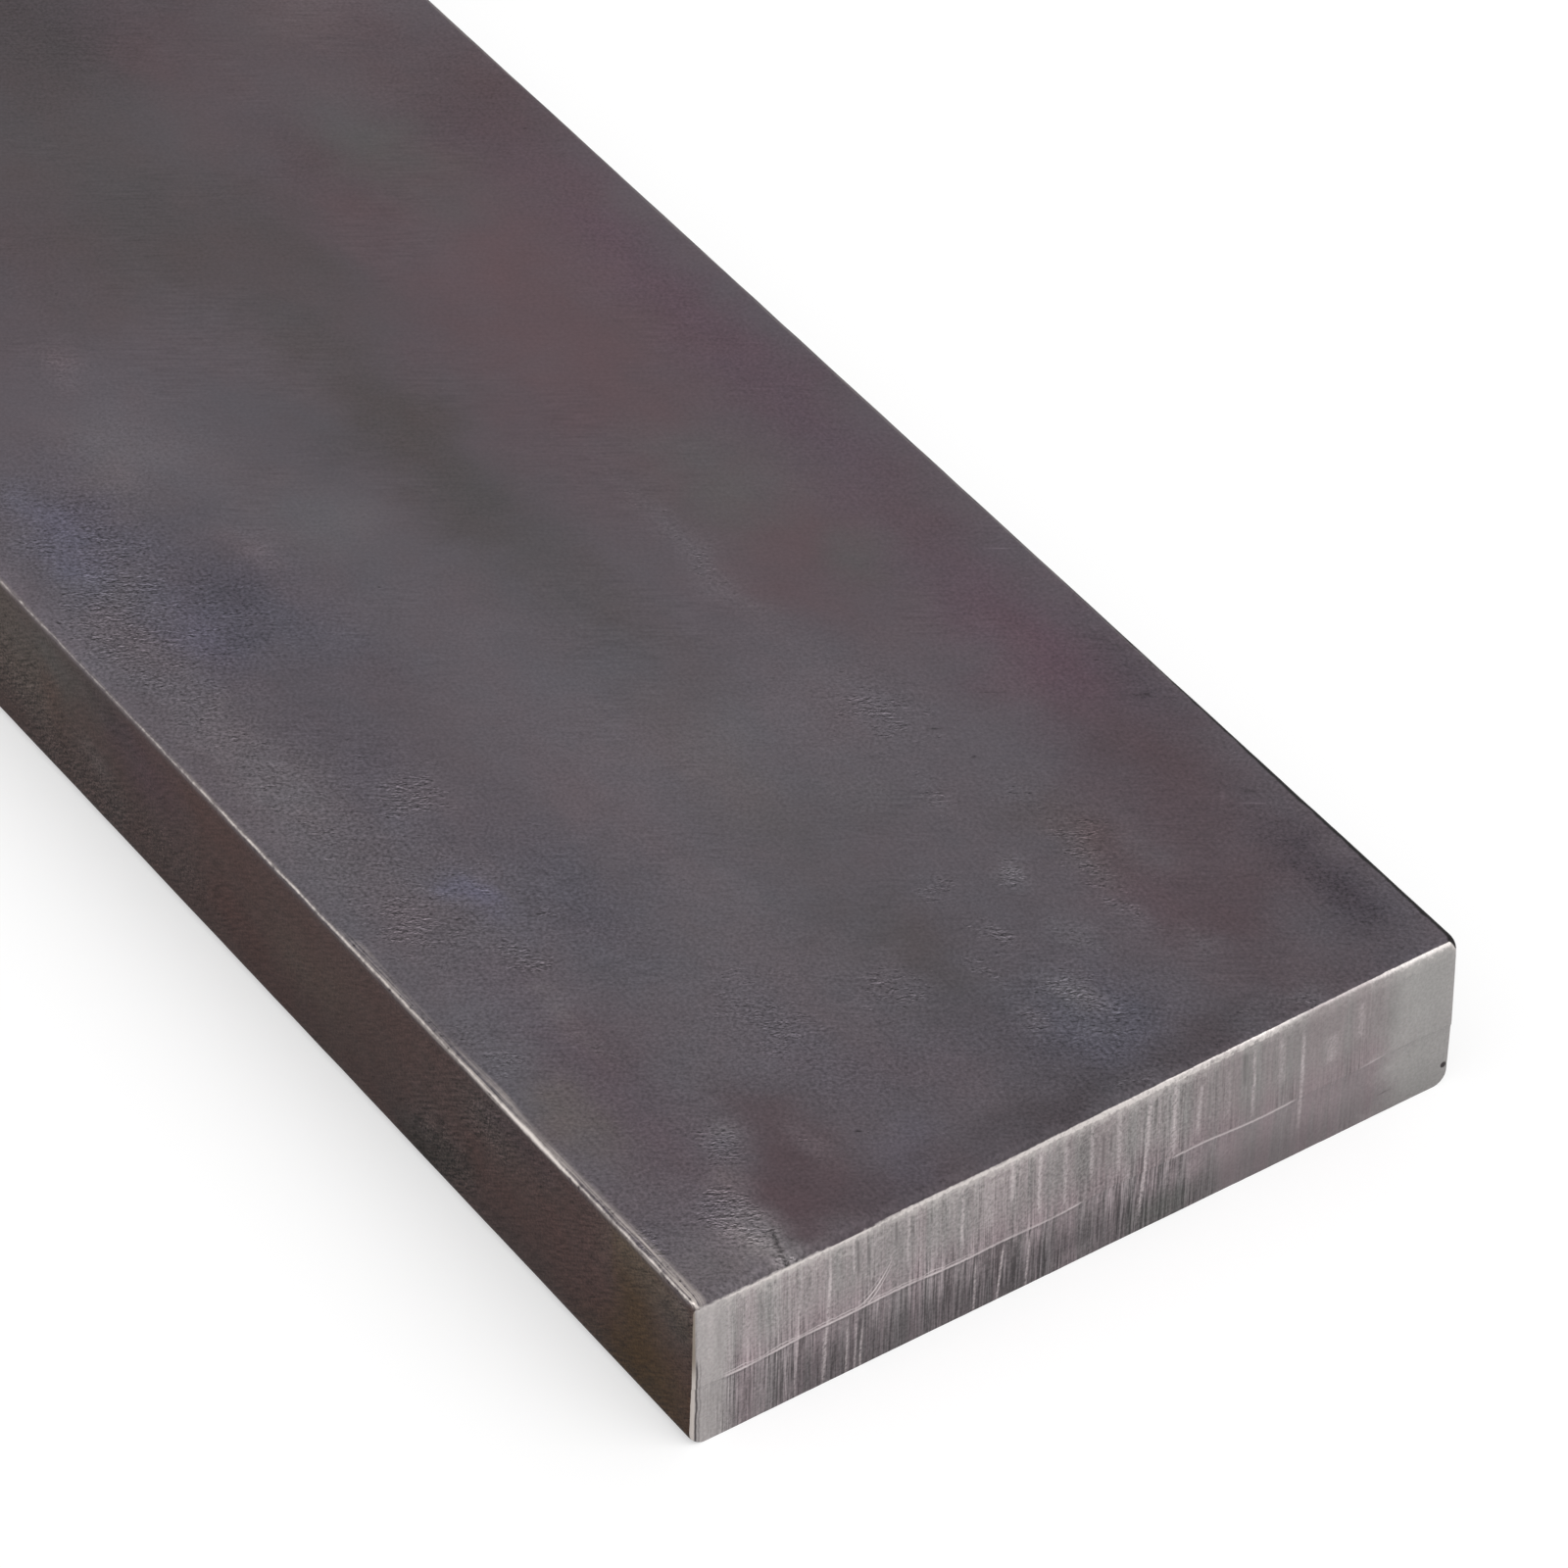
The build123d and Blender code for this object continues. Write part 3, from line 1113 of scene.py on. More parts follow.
class Num:
    """A number socket that Python arithmetic can be written on."""

    def __init__(self, tree: "Tree", socket: bpy.types.NodeSocket) -> None:
        """Wraps a socket of a tree."""
        self.tree = tree
        self.socket = socket

    def _math(self, operation: str, *values: Value) -> "Num":
        """A Math node on the values."""
        return Num(self.tree, self.tree.node("ShaderNodeMath", values, operation=operation)[0])

    def __add__(self, other: Value) -> "Num":
        """self + other."""
        return self._math("ADD", self, other)

    __radd__ = __add__

    def __sub__(self, other: Value) -> "Num":
        """self - other."""
        return self._math("SUBTRACT", self, other)

    def __rsub__(self, other: Value) -> "Num":
        """other - self."""
        return self._math("SUBTRACT", other, self)

    def __mul__(self, other: Value) -> "Num":
        """self * other."""
        return self._math("MULTIPLY", self, other)

    __rmul__ = __mul__

    def __abs__(self) -> "Num":
        """Size of self without its sign."""
        return self._math("ABSOLUTE", self)

    def wave(self) -> "Num":
        """Sine of self, in radians."""
        return self._math("SINE", self)

    def least(self, other: Value) -> "Num":
        """The smaller of self and other."""
        return self._math("MINIMUM", self, other)

    def most(self, other: Value) -> "Num":
        """The larger of self and other."""
        return self._math("MAXIMUM", self, other)

    def rise(self, low: Value, high: Value) -> "Num":
        """Smooth step of self.

        Args:
            low: Where the step is still 0.
            high: Where it has reached 1. With high below low it falls.

        Returns:
            A number from 0 to 1.
        """
        inputs = {"Value": self, "From Min": low, "From Max": high}
        outputs = self.tree.node("ShaderNodeMapRange", inputs, interpolation_type="SMOOTHSTEP")
        return Num(self.tree, outputs["Result"])

    def bell(self, width: Value) -> "Num":
        """1 where self is 0, falling to 0 at width to either side."""
        return abs(self).rise(width, 0.0)


class Tree:
    """A node tree, with one method for every kind of node group that the materials need."""

    def __init__(self, owner: bpy.types.Material | bpy.types.World) -> None:
        """Clears a tree.

        Args:
            owner: The material or world whose tree it is.
        """
        owner.use_nodes = True
        self.nodes = owner.node_tree.nodes
        self.links = owner.node_tree.links
        self.nodes.clear()

    def node(self, kind: str, inputs: Any = (), **settings: Any) -> Any:
        """Makes a node.

        Args:
            kind: The node's type.
            inputs: Values or links of its sockets, by name or by number.
            **settings: Its properties, set before its sockets.

        Returns:
            The node's outputs.
        """
        made = self.nodes.new(kind)
        for name, value in settings.items():
            setattr(made, name, value)
        pairs = inputs.items() if isinstance(inputs, dict) else enumerate(inputs)
        for key, value in pairs:
            given = value.socket if isinstance(value, Num) else value
            if isinstance(given, bpy.types.NodeSocket):
                self.links.new(given, made.inputs[key])
            else:
                made.inputs[key].default_value = given
        return made.outputs

    def vector(self, operation: str, inputs: Any) -> Any:
        """The vector that a Vector Math node gives."""
        return self.node("ShaderNodeVectorMath", inputs, operation=operation)[0]

    def axes(self, where: Any) -> tuple[Num, ...]:
        """X, Y and Z of a vector."""
        outputs = self.node("ShaderNodeSeparateXYZ", {0: where})
        return tuple(Num(self, outputs[k]) for k in range(3))

    def attribute(self, name: str) -> Num:
        """A number stored on the mesh."""
        return Num(self, self.node("ShaderNodeAttribute", attribute_name=name)["Fac"])

    def stretched(self, where: Any, scale: Triple, turn: float = 0.0, pitch: float = 0.0) -> Any:
        """Coordinates that are turned and then scaled along each axis.

        Args:
            where: The coordinates.
            scale: The scale along each axis.
            turn: Turn about Z in radians.
            pitch: Turn about Y in radians.

        Returns:
            The new coordinates.
        """
        inputs = {"Vector": where, "Rotation": (0.0, pitch, turn)}
        return self.vector("MULTIPLY", (self.node("ShaderNodeMapping", inputs)[0], scale))

    def noise(
        self, where: Any, scale: float | Triple, detail: int, rough: float, turn: float = 0.0
    ) -> Num:
        """Noise from about -0.5 to 0.5.

        Args:
            where: The coordinates.
            scale: Cells to the unit of where. One for each axis draws the pattern out.
            detail: How many finer layers it has.
            rough: Strength of each layer over that of the layer before it.
            turn: Turn about Z, in radians, of a pattern that is drawn out.

        Returns:
            One number for each place.
        """
        if isinstance(scale, tuple):
            where, scale = self.stretched(where, scale, turn), 1.0
        inputs = {"Vector": where, "Scale": scale, "Detail": detail, "Roughness": rough}
        return Num(self, self.node("ShaderNodeTexNoise", inputs)["Fac"]) - 0.5

    def blend(self, share: Value, first: Any, second: Any) -> Any:
        """Colour between two others. The Mix node's sockets share names, so they go by number.

        Args:
            share: 0 for all of the first, 1 for all of the second.
            first: A colour or its socket.
            second: A colour or its socket.

        Returns:
            The mixed colour's socket.
        """
        colours = [(*c, 1.0) if isinstance(c, tuple) else c for c in (first, second)]
        inputs = {0: share, 6: colours[0], 7: colours[1]}
        return self.node("ShaderNodeMix", inputs, data_type="RGBA", clamp_factor=True)[2]

    def between(self, share: Value, first: Any, second: Any) -> Any:
        """Vector that goes from first to second as share goes from 0 to 1."""
        return self.node("ShaderNodeMix", {0: share, 4: first, 5: second}, data_type="VECTOR")[1]

    def shade(self, colour: Any, amount: Value) -> Any:
        """Colour made lighter or darker by a number."""
        return self.vector("SCALE", {0: colour, "Scale": amount})


@dataclass(frozen=True)
class Finish:
    """Colour, roughness and metalness of one kind of surface."""

    colour: Colour
    roughness: float
    metallic: float


@dataclass(frozen=True)
class Ground:
    """The place being shaded, as a vector and as X, Y and Z, and the bar's half sizes.

    All are in millimetres.
    """

    tree: Tree
    mm: Any
    x: Num
    y: Num
    z: Num
    half_length: float
    half_width: float
    half_thickness: float

    @classmethod
    def of_object(cls, tree: Tree, half_sizes: Triple) -> "Ground":
        """The place in the object's own coordinates.

        Args:
            tree: The material's tree.
            half_sizes: Half the bar's length, width and thickness in millimetres.

        Returns:
            The place, as sockets of the tree.
        """
        mm = tree.stretched(tree.node("ShaderNodeTexCoord")["Object"], (1 / MM, 1 / MM, 1 / MM))
        return cls(tree, mm, *tree.axes(mm), *half_sizes)

    @property
    def inward(self) -> Num:
        """Distance from the fore end."""
        return self.half_length - self.x

    @property
    def off_middle(self) -> Num:
        """Distance from the middle of the thickness, up or down."""
        return abs(self.z - self.half_thickness)


@dataclass(frozen=True)
class Look:
    """Colour, roughness, metalness and height in millimetres, as sockets."""

    colour: Any
    roughness: Value
    metallic: Value
    height: Value

    def worn_to(self, share: Num, finish: Finish) -> "Look":
        """This look worn to a bare finish, on the same relief.

        Args:
            share: 0 for this look, 1 for the finish.
            finish: The bare finish.

        Returns:
            The look between them.
        """
        pairs = ((self.roughness, finish.roughness), (self.metallic, finish.metallic))
        rough, metal = (share * (theirs - mine) + mine for mine, theirs in pairs)
        return Look(share.tree.blend(share, self.colour, finish.colour), rough, metal, self.height)


def bare_from(ground: Ground, over: Num) -> Num:
    """Value of the sheared attribute at which the rolled skin ends.

    The skin laps down to the rim near the low-Y side and ends on the rollover near the
    other side. On the drawn sides it gives way earlier, and the more so the lower.

    Args:
        ground: The place being shaded.
        over: Height over the break line in millimetres.

    Returns:
        A value from 0 to 1.
    """
    lapped = 0.027 * ground.y.rise(-17.0, -20.0) + 0.04 * (ground.y + 21.0).bell(3.5)
    slope = (0.905 - 0.0085 * ground.y).least(0.965).most(0.65) + lapped
    drawn = (0.8 + 0.022 * over).least(1.0).most(0.5)
    return slope + abs(ground.y).rise(34.3, 34.7) * (drawn - slope)


# ---- The rolled skin --------------------------------------------------------------


@dataclass(frozen=True)
class Nick:
    """A short mark on the top that lies along the brush strokes, in millimetres.

    length and width are its half sizes. A strength over 0 is light, and one under 0 dark.
    """

    inward: float
    across: float
    length: float
    width: float
    strength: float


NICKS = tuple(Nick(*row) for row in (
    (8.3, -14.6, 0.5, 0.14, -0.8), (23.2, 29.9, 0.4, 0.7, 0.35), (21.3, 31.3, 1.6, 0.16, 0.6),
    (22.6, 31.9, 1, 0.4, -0.25), (57.2, 32.9, 1.6, 0.15, 0.5), (36.3, 32, 0.9, 0.6, -0.35),
    (42.2, 16.1, 1, 0.16, -0.5), (43.3, 22.2, 1.4, 0.12, -0.35), (37.8, 16.7, 0.3, 0.3, -0.5),
))


@dataclass(frozen=True)
class MillScale:
    """Dark scale of the rolled skin, its tone read from the mesh.

    brush_turn and side_pitch are the slants of the brush strokes on the top and on the
    sides, in radians. lit_step and lit_step_upright are short steps towards the light,
    in millimetres. The spans say where a zone begins and where it is whole: side_height
    and side_breadth the narrow sides, and burnt_reach and burnt_edge the warm zone on
    the near side next to the cut.
    """

    roughness: float = 0.5
    side_roughness: float = 0.66
    brush_turn: float = -0.97
    side_pitch: float = 0.65
    lit_step: Triple = (0.1, -0.05, 0.0)
    lit_step_upright: Triple = (-0.06, 0.0, 0.09)
    side_height: Span = (7.2, 6.7)
    side_breadth: Span = (33.6, 34.3)
    cool: Colour = (0.975, 1.005, 1.02)
    warm: Colour = (1.025, 0.99, 0.99)
    burnt: Colour = (1.0, 0.965, 0.88)
    burnt_reach: Span = (10.8, 10.3)
    burnt_edge: Span = (-34.0, -34.6)
    least_value: float = 0.2

    def build(self, ground: Ground) -> Look:
        """Tone with speckle, blotches, slanting brush marks, pits and crusts.

        The slope of the crumbly relief towards the light, taken over a short step, also
        marks the tone: rims that face it are paler and the hollows behind are darker.

        Args:
            ground: The place being shaded.

        Returns:
            The look of the rolled skin.
        """
        tree, mm = ground.tree, ground.mm
        tone = tree.node("ShaderNodeAttribute", attribute_name="tone")["Vector"]
        grainy, crusted = tree.attribute("grain"), tree.attribute("crust")
        upright = ground.off_middle.rise(*self.side_height)
        upright = upright * abs(ground.y).rise(*self.side_breadth)
        # The crumbly relief, and how much of it faces the light, for painted highlight and shade.
        step = tree.between(upright, self.lit_step, self.lit_step_upright)
        crumbled = self._crumbled(tree, mm)
        painted_relief_light = crumbled - self._crumbled(tree, tree.vector("ADD", (mm, step)))
        grit = grainy * grainy
        # Brush strokes, which are stronger in some fields than in others.
        on_top = tree.stretched(mm, (0.35, 3.0, 1.0), self.brush_turn)
        on_side = tree.stretched(mm, (0.5, 1.0, 4.2), 0.0, self.side_pitch)
        strokes = tree.noise(tree.between(upright, on_top, on_side), 1.0, 3, 0.65)
        stroked = tree.noise(mm, 0.11, 2, 0.5).rise(-0.03, 0.14)
        # Fine specks, blotches of 3 mm and clusters of crumbs.
        speckle = tree.noise(mm, 3.4, 1, 0.6)
        mottle = tree.noise(mm, 0.35, 4, 0.6)
        clumps = tree.noise(mm, (0.5, 1.1, 0.9), 3, 0.75, self.brush_turn)
        clustered = (crusted + 1.9 * clumps).rise(0.25, 0.8)
        value = 1 + speckle * (0.2 + 2.8 * grainy + 0.5 * upright) + mottle * (0.1 + 0.7 * grainy)
        value = value + strokes * (0.1 + 0.5 * stroked + 0.8 * grainy + upright * (0.9 + 4.4 * grainy))
        # Painted highlight on crumbs that face the light and painted shade in the hollows behind,
        # strongest in clusters.
        value = value + painted_relief_light * (0.05 + 3.2 * grit + 1.3 * upright)
        value = value + clustered * (1.9 * painted_relief_light.rise(0.05, 0.17) - 1.35 * painted_relief_light.rise(-0.04, -0.14))
        marks = self._nicks(ground) - 0.5 * self._scar(ground)
        value = value + marks * (1 - upright)
        # Warm and cool drifts, and the zone by the cut.
        drift = tree.noise(mm, (0.1, 0.14, 0.14), 3, 0.6)
        tint = tree.blend(drift * 3.0 + 0.5, self.cool, self.warm)
        by_cut = (ground.inward + strokes).rise(*self.burnt_reach)
        by_cut = by_cut * ground.y.rise(*self.burnt_edge)
        tint = tree.blend(by_cut * upright, tint, self.burnt)
        colour = tree.shade(tree.vector("MULTIPLY", (tone, tint)), value.most(self.least_value))
        rough = upright * (self.side_roughness - self.roughness) + self.roughness + 0.2 * mottle
        height = 0.02 * strokes + crumbled * (0.004 + 0.02 * grit + 0.05 * crusted)
        return Look(colour, rough, 0.0, height + 0.012 * speckle * grainy)

    def _scar(self, ground: Ground) -> Num:
        """A dark dent that slants over the top from the fore end's rim near the low-Y corner.

        Args:
            ground: The place being shaded.

        Returns:
            1 in its middle and 0 off it.
        """
        inward = ground.inward
        wobble = ground.tree.noise(ground.mm, 0.3, 3, 0.6)
        line = (ground.y + 26.5 - 0.24 * inward + 1.4 * wobble).bell(0.42)
        return line * inward.rise(4.2, 2.6)

    def _nicks(self, ground: Ground) -> Num:
        """The marks of NICKS, added up: each a bell along the brush strokes and one across.

        Args:
            ground: The place being shaded.

        Returns:
            How much lighter they make the skin.
        """
        turned = ground.tree.stretched(ground.mm, (1.0, 1.0, 1.0), self.brush_turn)
        along, across, _ = ground.tree.axes(turned)
        cosine, sine = math.cos(self.brush_turn), math.sin(self.brush_turn)
        total: Value = 0.0
        for nick in NICKS:
            x, y = ground.half_length - nick.inward, nick.across
            shape = (along - (x * cosine - y * sine)).bell(nick.length)
            shape = shape * (across - (x * sine + y * cosine)).bell(nick.width)
            total = shape * nick.strength + total
        return total

    def _crumbled(self, tree: Tree, where: Any) -> Num:
        """Crumbly relief: lumps of about 0.65 by 0.3 mm, drawn out along the brush strokes."""
        return tree.noise(where, (1.5, 3.1, 2.6), 4, 0.8, self.brush_turn)


@dataclass(frozen=True)
class RubbedEdge:
    """Long corners, where handling has rubbed the scale off the steel.

    least_width and most_width are the bright line's half widths on a sound and on a worn
    corner. corner_reach says where a corner begins and where it is whole, far_edge and
    far_height where the far upper corner does. All are in millimetres.
    """

    steel: Finish = Finish(linear(230, 221, 215), 0.4, 0.8)
    least_width: float = 0.1
    most_width: float = 0.42
    scratched: Colour = linear(182, 173, 168)
    # Dark of the pits, of the painted shade on the far upper corner and of the darkening by the
    # underside.
    dark_mark_and_shade: Colour = linear(26, 24, 24)
    corner_reach: Span = (2.4, 0.5)
    far_edge: Span = (28.0, 32.0)
    far_height: Span = (13.5, 14.3)

    def apply(self, ground: Ground, look: Look) -> Look:
        """A bright line along each corner, with a band of fine scratches beside it.

        The place across a corner is how much farther a point is from the narrow side
        than from the broad face, which is 0 in the middle of the corner's arc. The
        scratches run along the bar. Painted shade darkens the far upper corner.

        Args:
            ground: The place being shaded.
            look: The look of the rolled skin.

        Returns:
            The look with its corners rubbed.
        """
        tree, mm = ground.tree, ground.mm
        worn, scuffed = tree.attribute("worn"), tree.attribute("scuffed")
        from_side = ground.half_width - abs(ground.y)
        from_face = ground.half_thickness - ground.off_middle
        across = from_side - from_face
        near_corner = (from_side + from_face).rise(*self.corner_reach)
        wobble = tree.noise(mm, (0.5, 0.02, 0.02), 3, 0.6)
        ragged = tree.noise(mm, 2.2, 3, 0.65)
        # The band of scratches, combed along the bar, and the pits in it.
        combed = tree.noise(mm, (0.09, 3.6, 0.1), 3, 0.75)
        reach = 0.45 + 1.25 * scuffed
        band = across.rise(reach, 0.3 * reach) * across.rise(-0.4, 0.0) * near_corner
        haze = band * scuffed.most(0.2) * (0.75 + 6.0 * combed + 1.2 * ragged)
        colour = tree.blend(haze, look.colour, self.scratched)
        pitted = band * (scuffed * 2.0).least(1.0) * (ragged + 0.4 * combed).rise(-0.13, -0.2)
        # Painted shade on the far upper corner, more by the fore end, and a darkening by the underside.
        far = ground.y.rise(*self.far_edge) * ground.z.rise(*self.far_height)
        far_shade_width = 0.14 + 0.38 * ground.x.rise(440.0, 482.0) + 0.5 * wobble
        far_shade = across.rise(far_shade_width + 0.12, far_shade_width - 0.1)
        below = ground.z.rise(1.3, 0.3) * 0.45
        dark = (pitted * 0.7).most(far_shade * near_corner * far).most(below)
        colour = tree.blend(dark, colour, self.dark_mark_and_shade)
        # The bright line, which wanders and breaks up.
        width = (self.least_width + (self.most_width - self.least_width) * worn) * (1 + ragged)
        line = (across - 0.1 - 0.25 * wobble).bell(width.most(0.04))
        rubbed = worn * (1.5 + 3.5 * wobble) + 1.0 * ragged + 0.1
        share = line * near_corner * rubbed.rise(0.05, 0.95)
        return replace(look, colour=colour).worn_to(share * (1 - far), self.steel)


# ---- The sheared faces ------------------------------------------------------------


@dataclass(frozen=True)
class Streak:
    """An upright line on the cut face, in millimetres.

    across is its Y. low and high are its ends, counted from the break line upwards.
    lean is how far its Y shifts for each millimetre up. taper is the share of its half
    length at which it begins to fade.
    """

    across: float
    low: float
    high: float
    strength: float
    width: float = 0.22
    lean: float = 0.0
    taper: float = 0.55

    def at(self, across: Num, over: Num) -> Num:
        """The line's strength: a bell across it and a soft-ended step along it.

        Args:
            across: Y of the place.
            over: Height of the place over the break line.

        Returns:
            The line's strength in its middle and 0 off it.
        """
        middle, half = (self.low + self.high) / 2, (self.high - self.low) / 2
        place = across - self.across - self.lean * over if self.lean else across - self.across
        shape = place.bell(self.width) * abs(over - middle).rise(half, self.taper * half)
        return shape * self.strength


LIGHT_STREAKS = tuple(Streak(*row) for row in (
    (-33.3, 1, 8, 0.2, 0.5), (-31.7, 0, 8.5, 0.4, 0.35), (-30.1, 0.5, 7.5, 0.25, 0.6),
    (-27.6, 1, 8, 0.4, 0.35), (-25.6, -7, 7, 0.45, 0.2, 0.03), (-22.95, -7, 8.5, 0.8, 0.24, 0.03),
    (-20.7, 3.5, 9, 0.6, 0.18), (-19, 1, 9, 0.35, 0.18), (-15.8, 1.5, 8.5, 0.65),
    (-13.4, 0.5, 7, 0.25, 0.45), (-10.9, 0.5, 9, 0.85, 0.26), (-8.4, 1.5, 7.5, 0.3, 0.5),
    (-6.4, 3.5, 8.5, 0.7, 0.34), (-3.9, 0.5, 8.5, 0.85, 0.3), (-1.5, -0.5, 8, 0.45, 0.36),
    (0.85, 1.5, 8.5, 0.55, 0.3), (3.35, 0.5, 8, 0.5, 0.34), (5.85, -6, 9, 0.75, 0.34, 0.05),
    (8.5, -0.5, 8.5, 0.8, 0.4), (10.6, 0.5, 7, 0.5, 0.3, 0.06), (13.5, 1, 7, 0.2, 0.5),
    (15.9, 0, 8.5, 0.6, 0.26), (18.5, 2, 8, 0.3, 0.6), (20.5, -4, 8, 0.55, 0.3), (23.3, 2, 5.5, 0.3, 1),
    (25.9, 3, 7.5, 0.3, 0.6), (-23.2, -7, 0, 0.5, 0.16), (-21.1, -7, -0.3, 0.6, 0.18),
    (-20.3, -7, -0.5, 0.5, 0.14), (-19.8, -7.5, -1.5, 0.6, 0.18), (-9.5, -7, -0.3, 0.5, 0.18),
    (-7, -7, 0, 0.75, 0.2, 0.06), (-4.7, -7, -0.2, 0.6, 0.18),
))

DARK_STREAKS = tuple(Streak(*row) for row in (
    (-32.5, 1, 7, 0.12, 0.4), (-30.9, 1, 6.5, 0.16, 0.35), (-29.7, -7, -0.5, 0.5, 0.16),
    (-20.3, 3, 8.8, 0.5, 0.2), (-19.4, 3.5, 8.8, 0.5, 0.2), (-16.9, 4.5, 8.8, 0.45, 0.2),
    (1.9, 2.5, 6.5, 0.45, 0.22), (2.6, 3.5, 6, 0.4, 0.18), (11.8, 2.5, 6.5, 0.3, 0.22),
    (15, 4, 8, 0.4, 0.3),
))


@dataclass(frozen=True)
class Cloud:
    """A soft spot on the cut face that is darker, or lighter where depth is below 0.

    across is the Y of its middle and rise the height of its middle over the break line.
    breadth and height are how far it reaches either way. All four are in millimetres.
    """

    across: float
    rise: float
    breadth: float
    height: float
    depth: float

    def at(self, across: Num, over: Num) -> Num:
        """How much darker a place is, by its Y and its height over the break line."""
        column = self.depth * (across - self.across).bell(self.breadth)
        return column * (over - self.rise).bell(self.height)


CUT_CLOUDS = tuple(Cloud(*row) for row in (
    (-31.3, -2.5, 1.3, 2.6, -0.09), (-28.5, 1.5, 2.2, 2.4, -0.1), (-27, -1, 1.7, 2.2, -0.15),
    (-29.2, -2.2, 1.4, 3.2, 0.2), (-10.3, 5.7, 2, 2.5, -0.08), (-12, 1.2, 4.5, 2.4, 0.12),
    (-8.2, -1.8, 5, 2.6, 0.12), (-4.8, 3.6, 3.4, 5, 0.15), (0.7, 3.6, 1.8, 5, 0.1),
    (4.6, 5, 2.4, 5, -0.14), (6.8, 2.5, 2, 2.8, -0.08), (7.2, -1.5, 2.2, 2.2, 0.07),
    (9.5, -3.6, 2.5, 2, 0.05), (28.9, 3.4, 1.9, 5.2, 0.12),
))


@dataclass(frozen=True)
class CutFace:
    """A sheared face: its noises and its zones, as numbers.

    over is the height over the break line, and upwards the place without its X, both in
    millimetres. grain is fine and even, cloud slow and even. hair, streak and panels are
    drawn out upwards, from fine to broad. broken is 1 below the break line. by_near and
    by_far are 1 along the low-Y side and the other side, and smooth is 1 where the
    ridges fade, from beside the middle to the other side.
    """

    ground: Ground
    over: Num
    upwards: Any
    grain: Num
    cloud: Num
    hair: Num
    streak: Num
    panels: Num
    broken: Num
    by_near: Num
    by_far: Num
    smooth: Num

    @classmethod
    def of(cls, ground: Ground) -> "CutFace":
        """Lays the noises and the zones out, with ragged borders between the zones.

        Args:
            ground: The place being shaded.

        Returns:
            The face.
        """
        tree, mm, y = ground.tree, ground.mm, ground.y
        over = tree.attribute("above_break")
        upwards = tree.node("ShaderNodeCombineXYZ", {"Y": y, "Z": ground.z})[0]
        hair = tree.noise(upwards, (0.0, 4.0, 0.11), 2, 0.85)
        streak = tree.noise(upwards, (0.0, 1.2, 0.06), 3, 0.75)
        cloud = tree.noise(mm, 0.25, 3, 0.6)
        return cls(
            ground=ground,
            over=over,
            upwards=upwards,
            grain=tree.noise(mm, 3.6, 2, 0.65),
            cloud=cloud,
            hair=hair,
            streak=streak,
            panels=tree.noise(upwards, (0.0, 0.45, 0.03), 3, 0.6),
            broken=(over + 0.5 * hair + 0.3 * streak).rise(0.15, -0.2),
            by_near=(y + 3.0 * streak + 1.2 * cloud).rise(-30.8, -33.0),
            by_far=(y + 6.0 * cloud).rise(26.0, 31.5),
            smooth=(y + 3.0 * streak + 4.0 * cloud).rise(8.5, 14.5),
        )


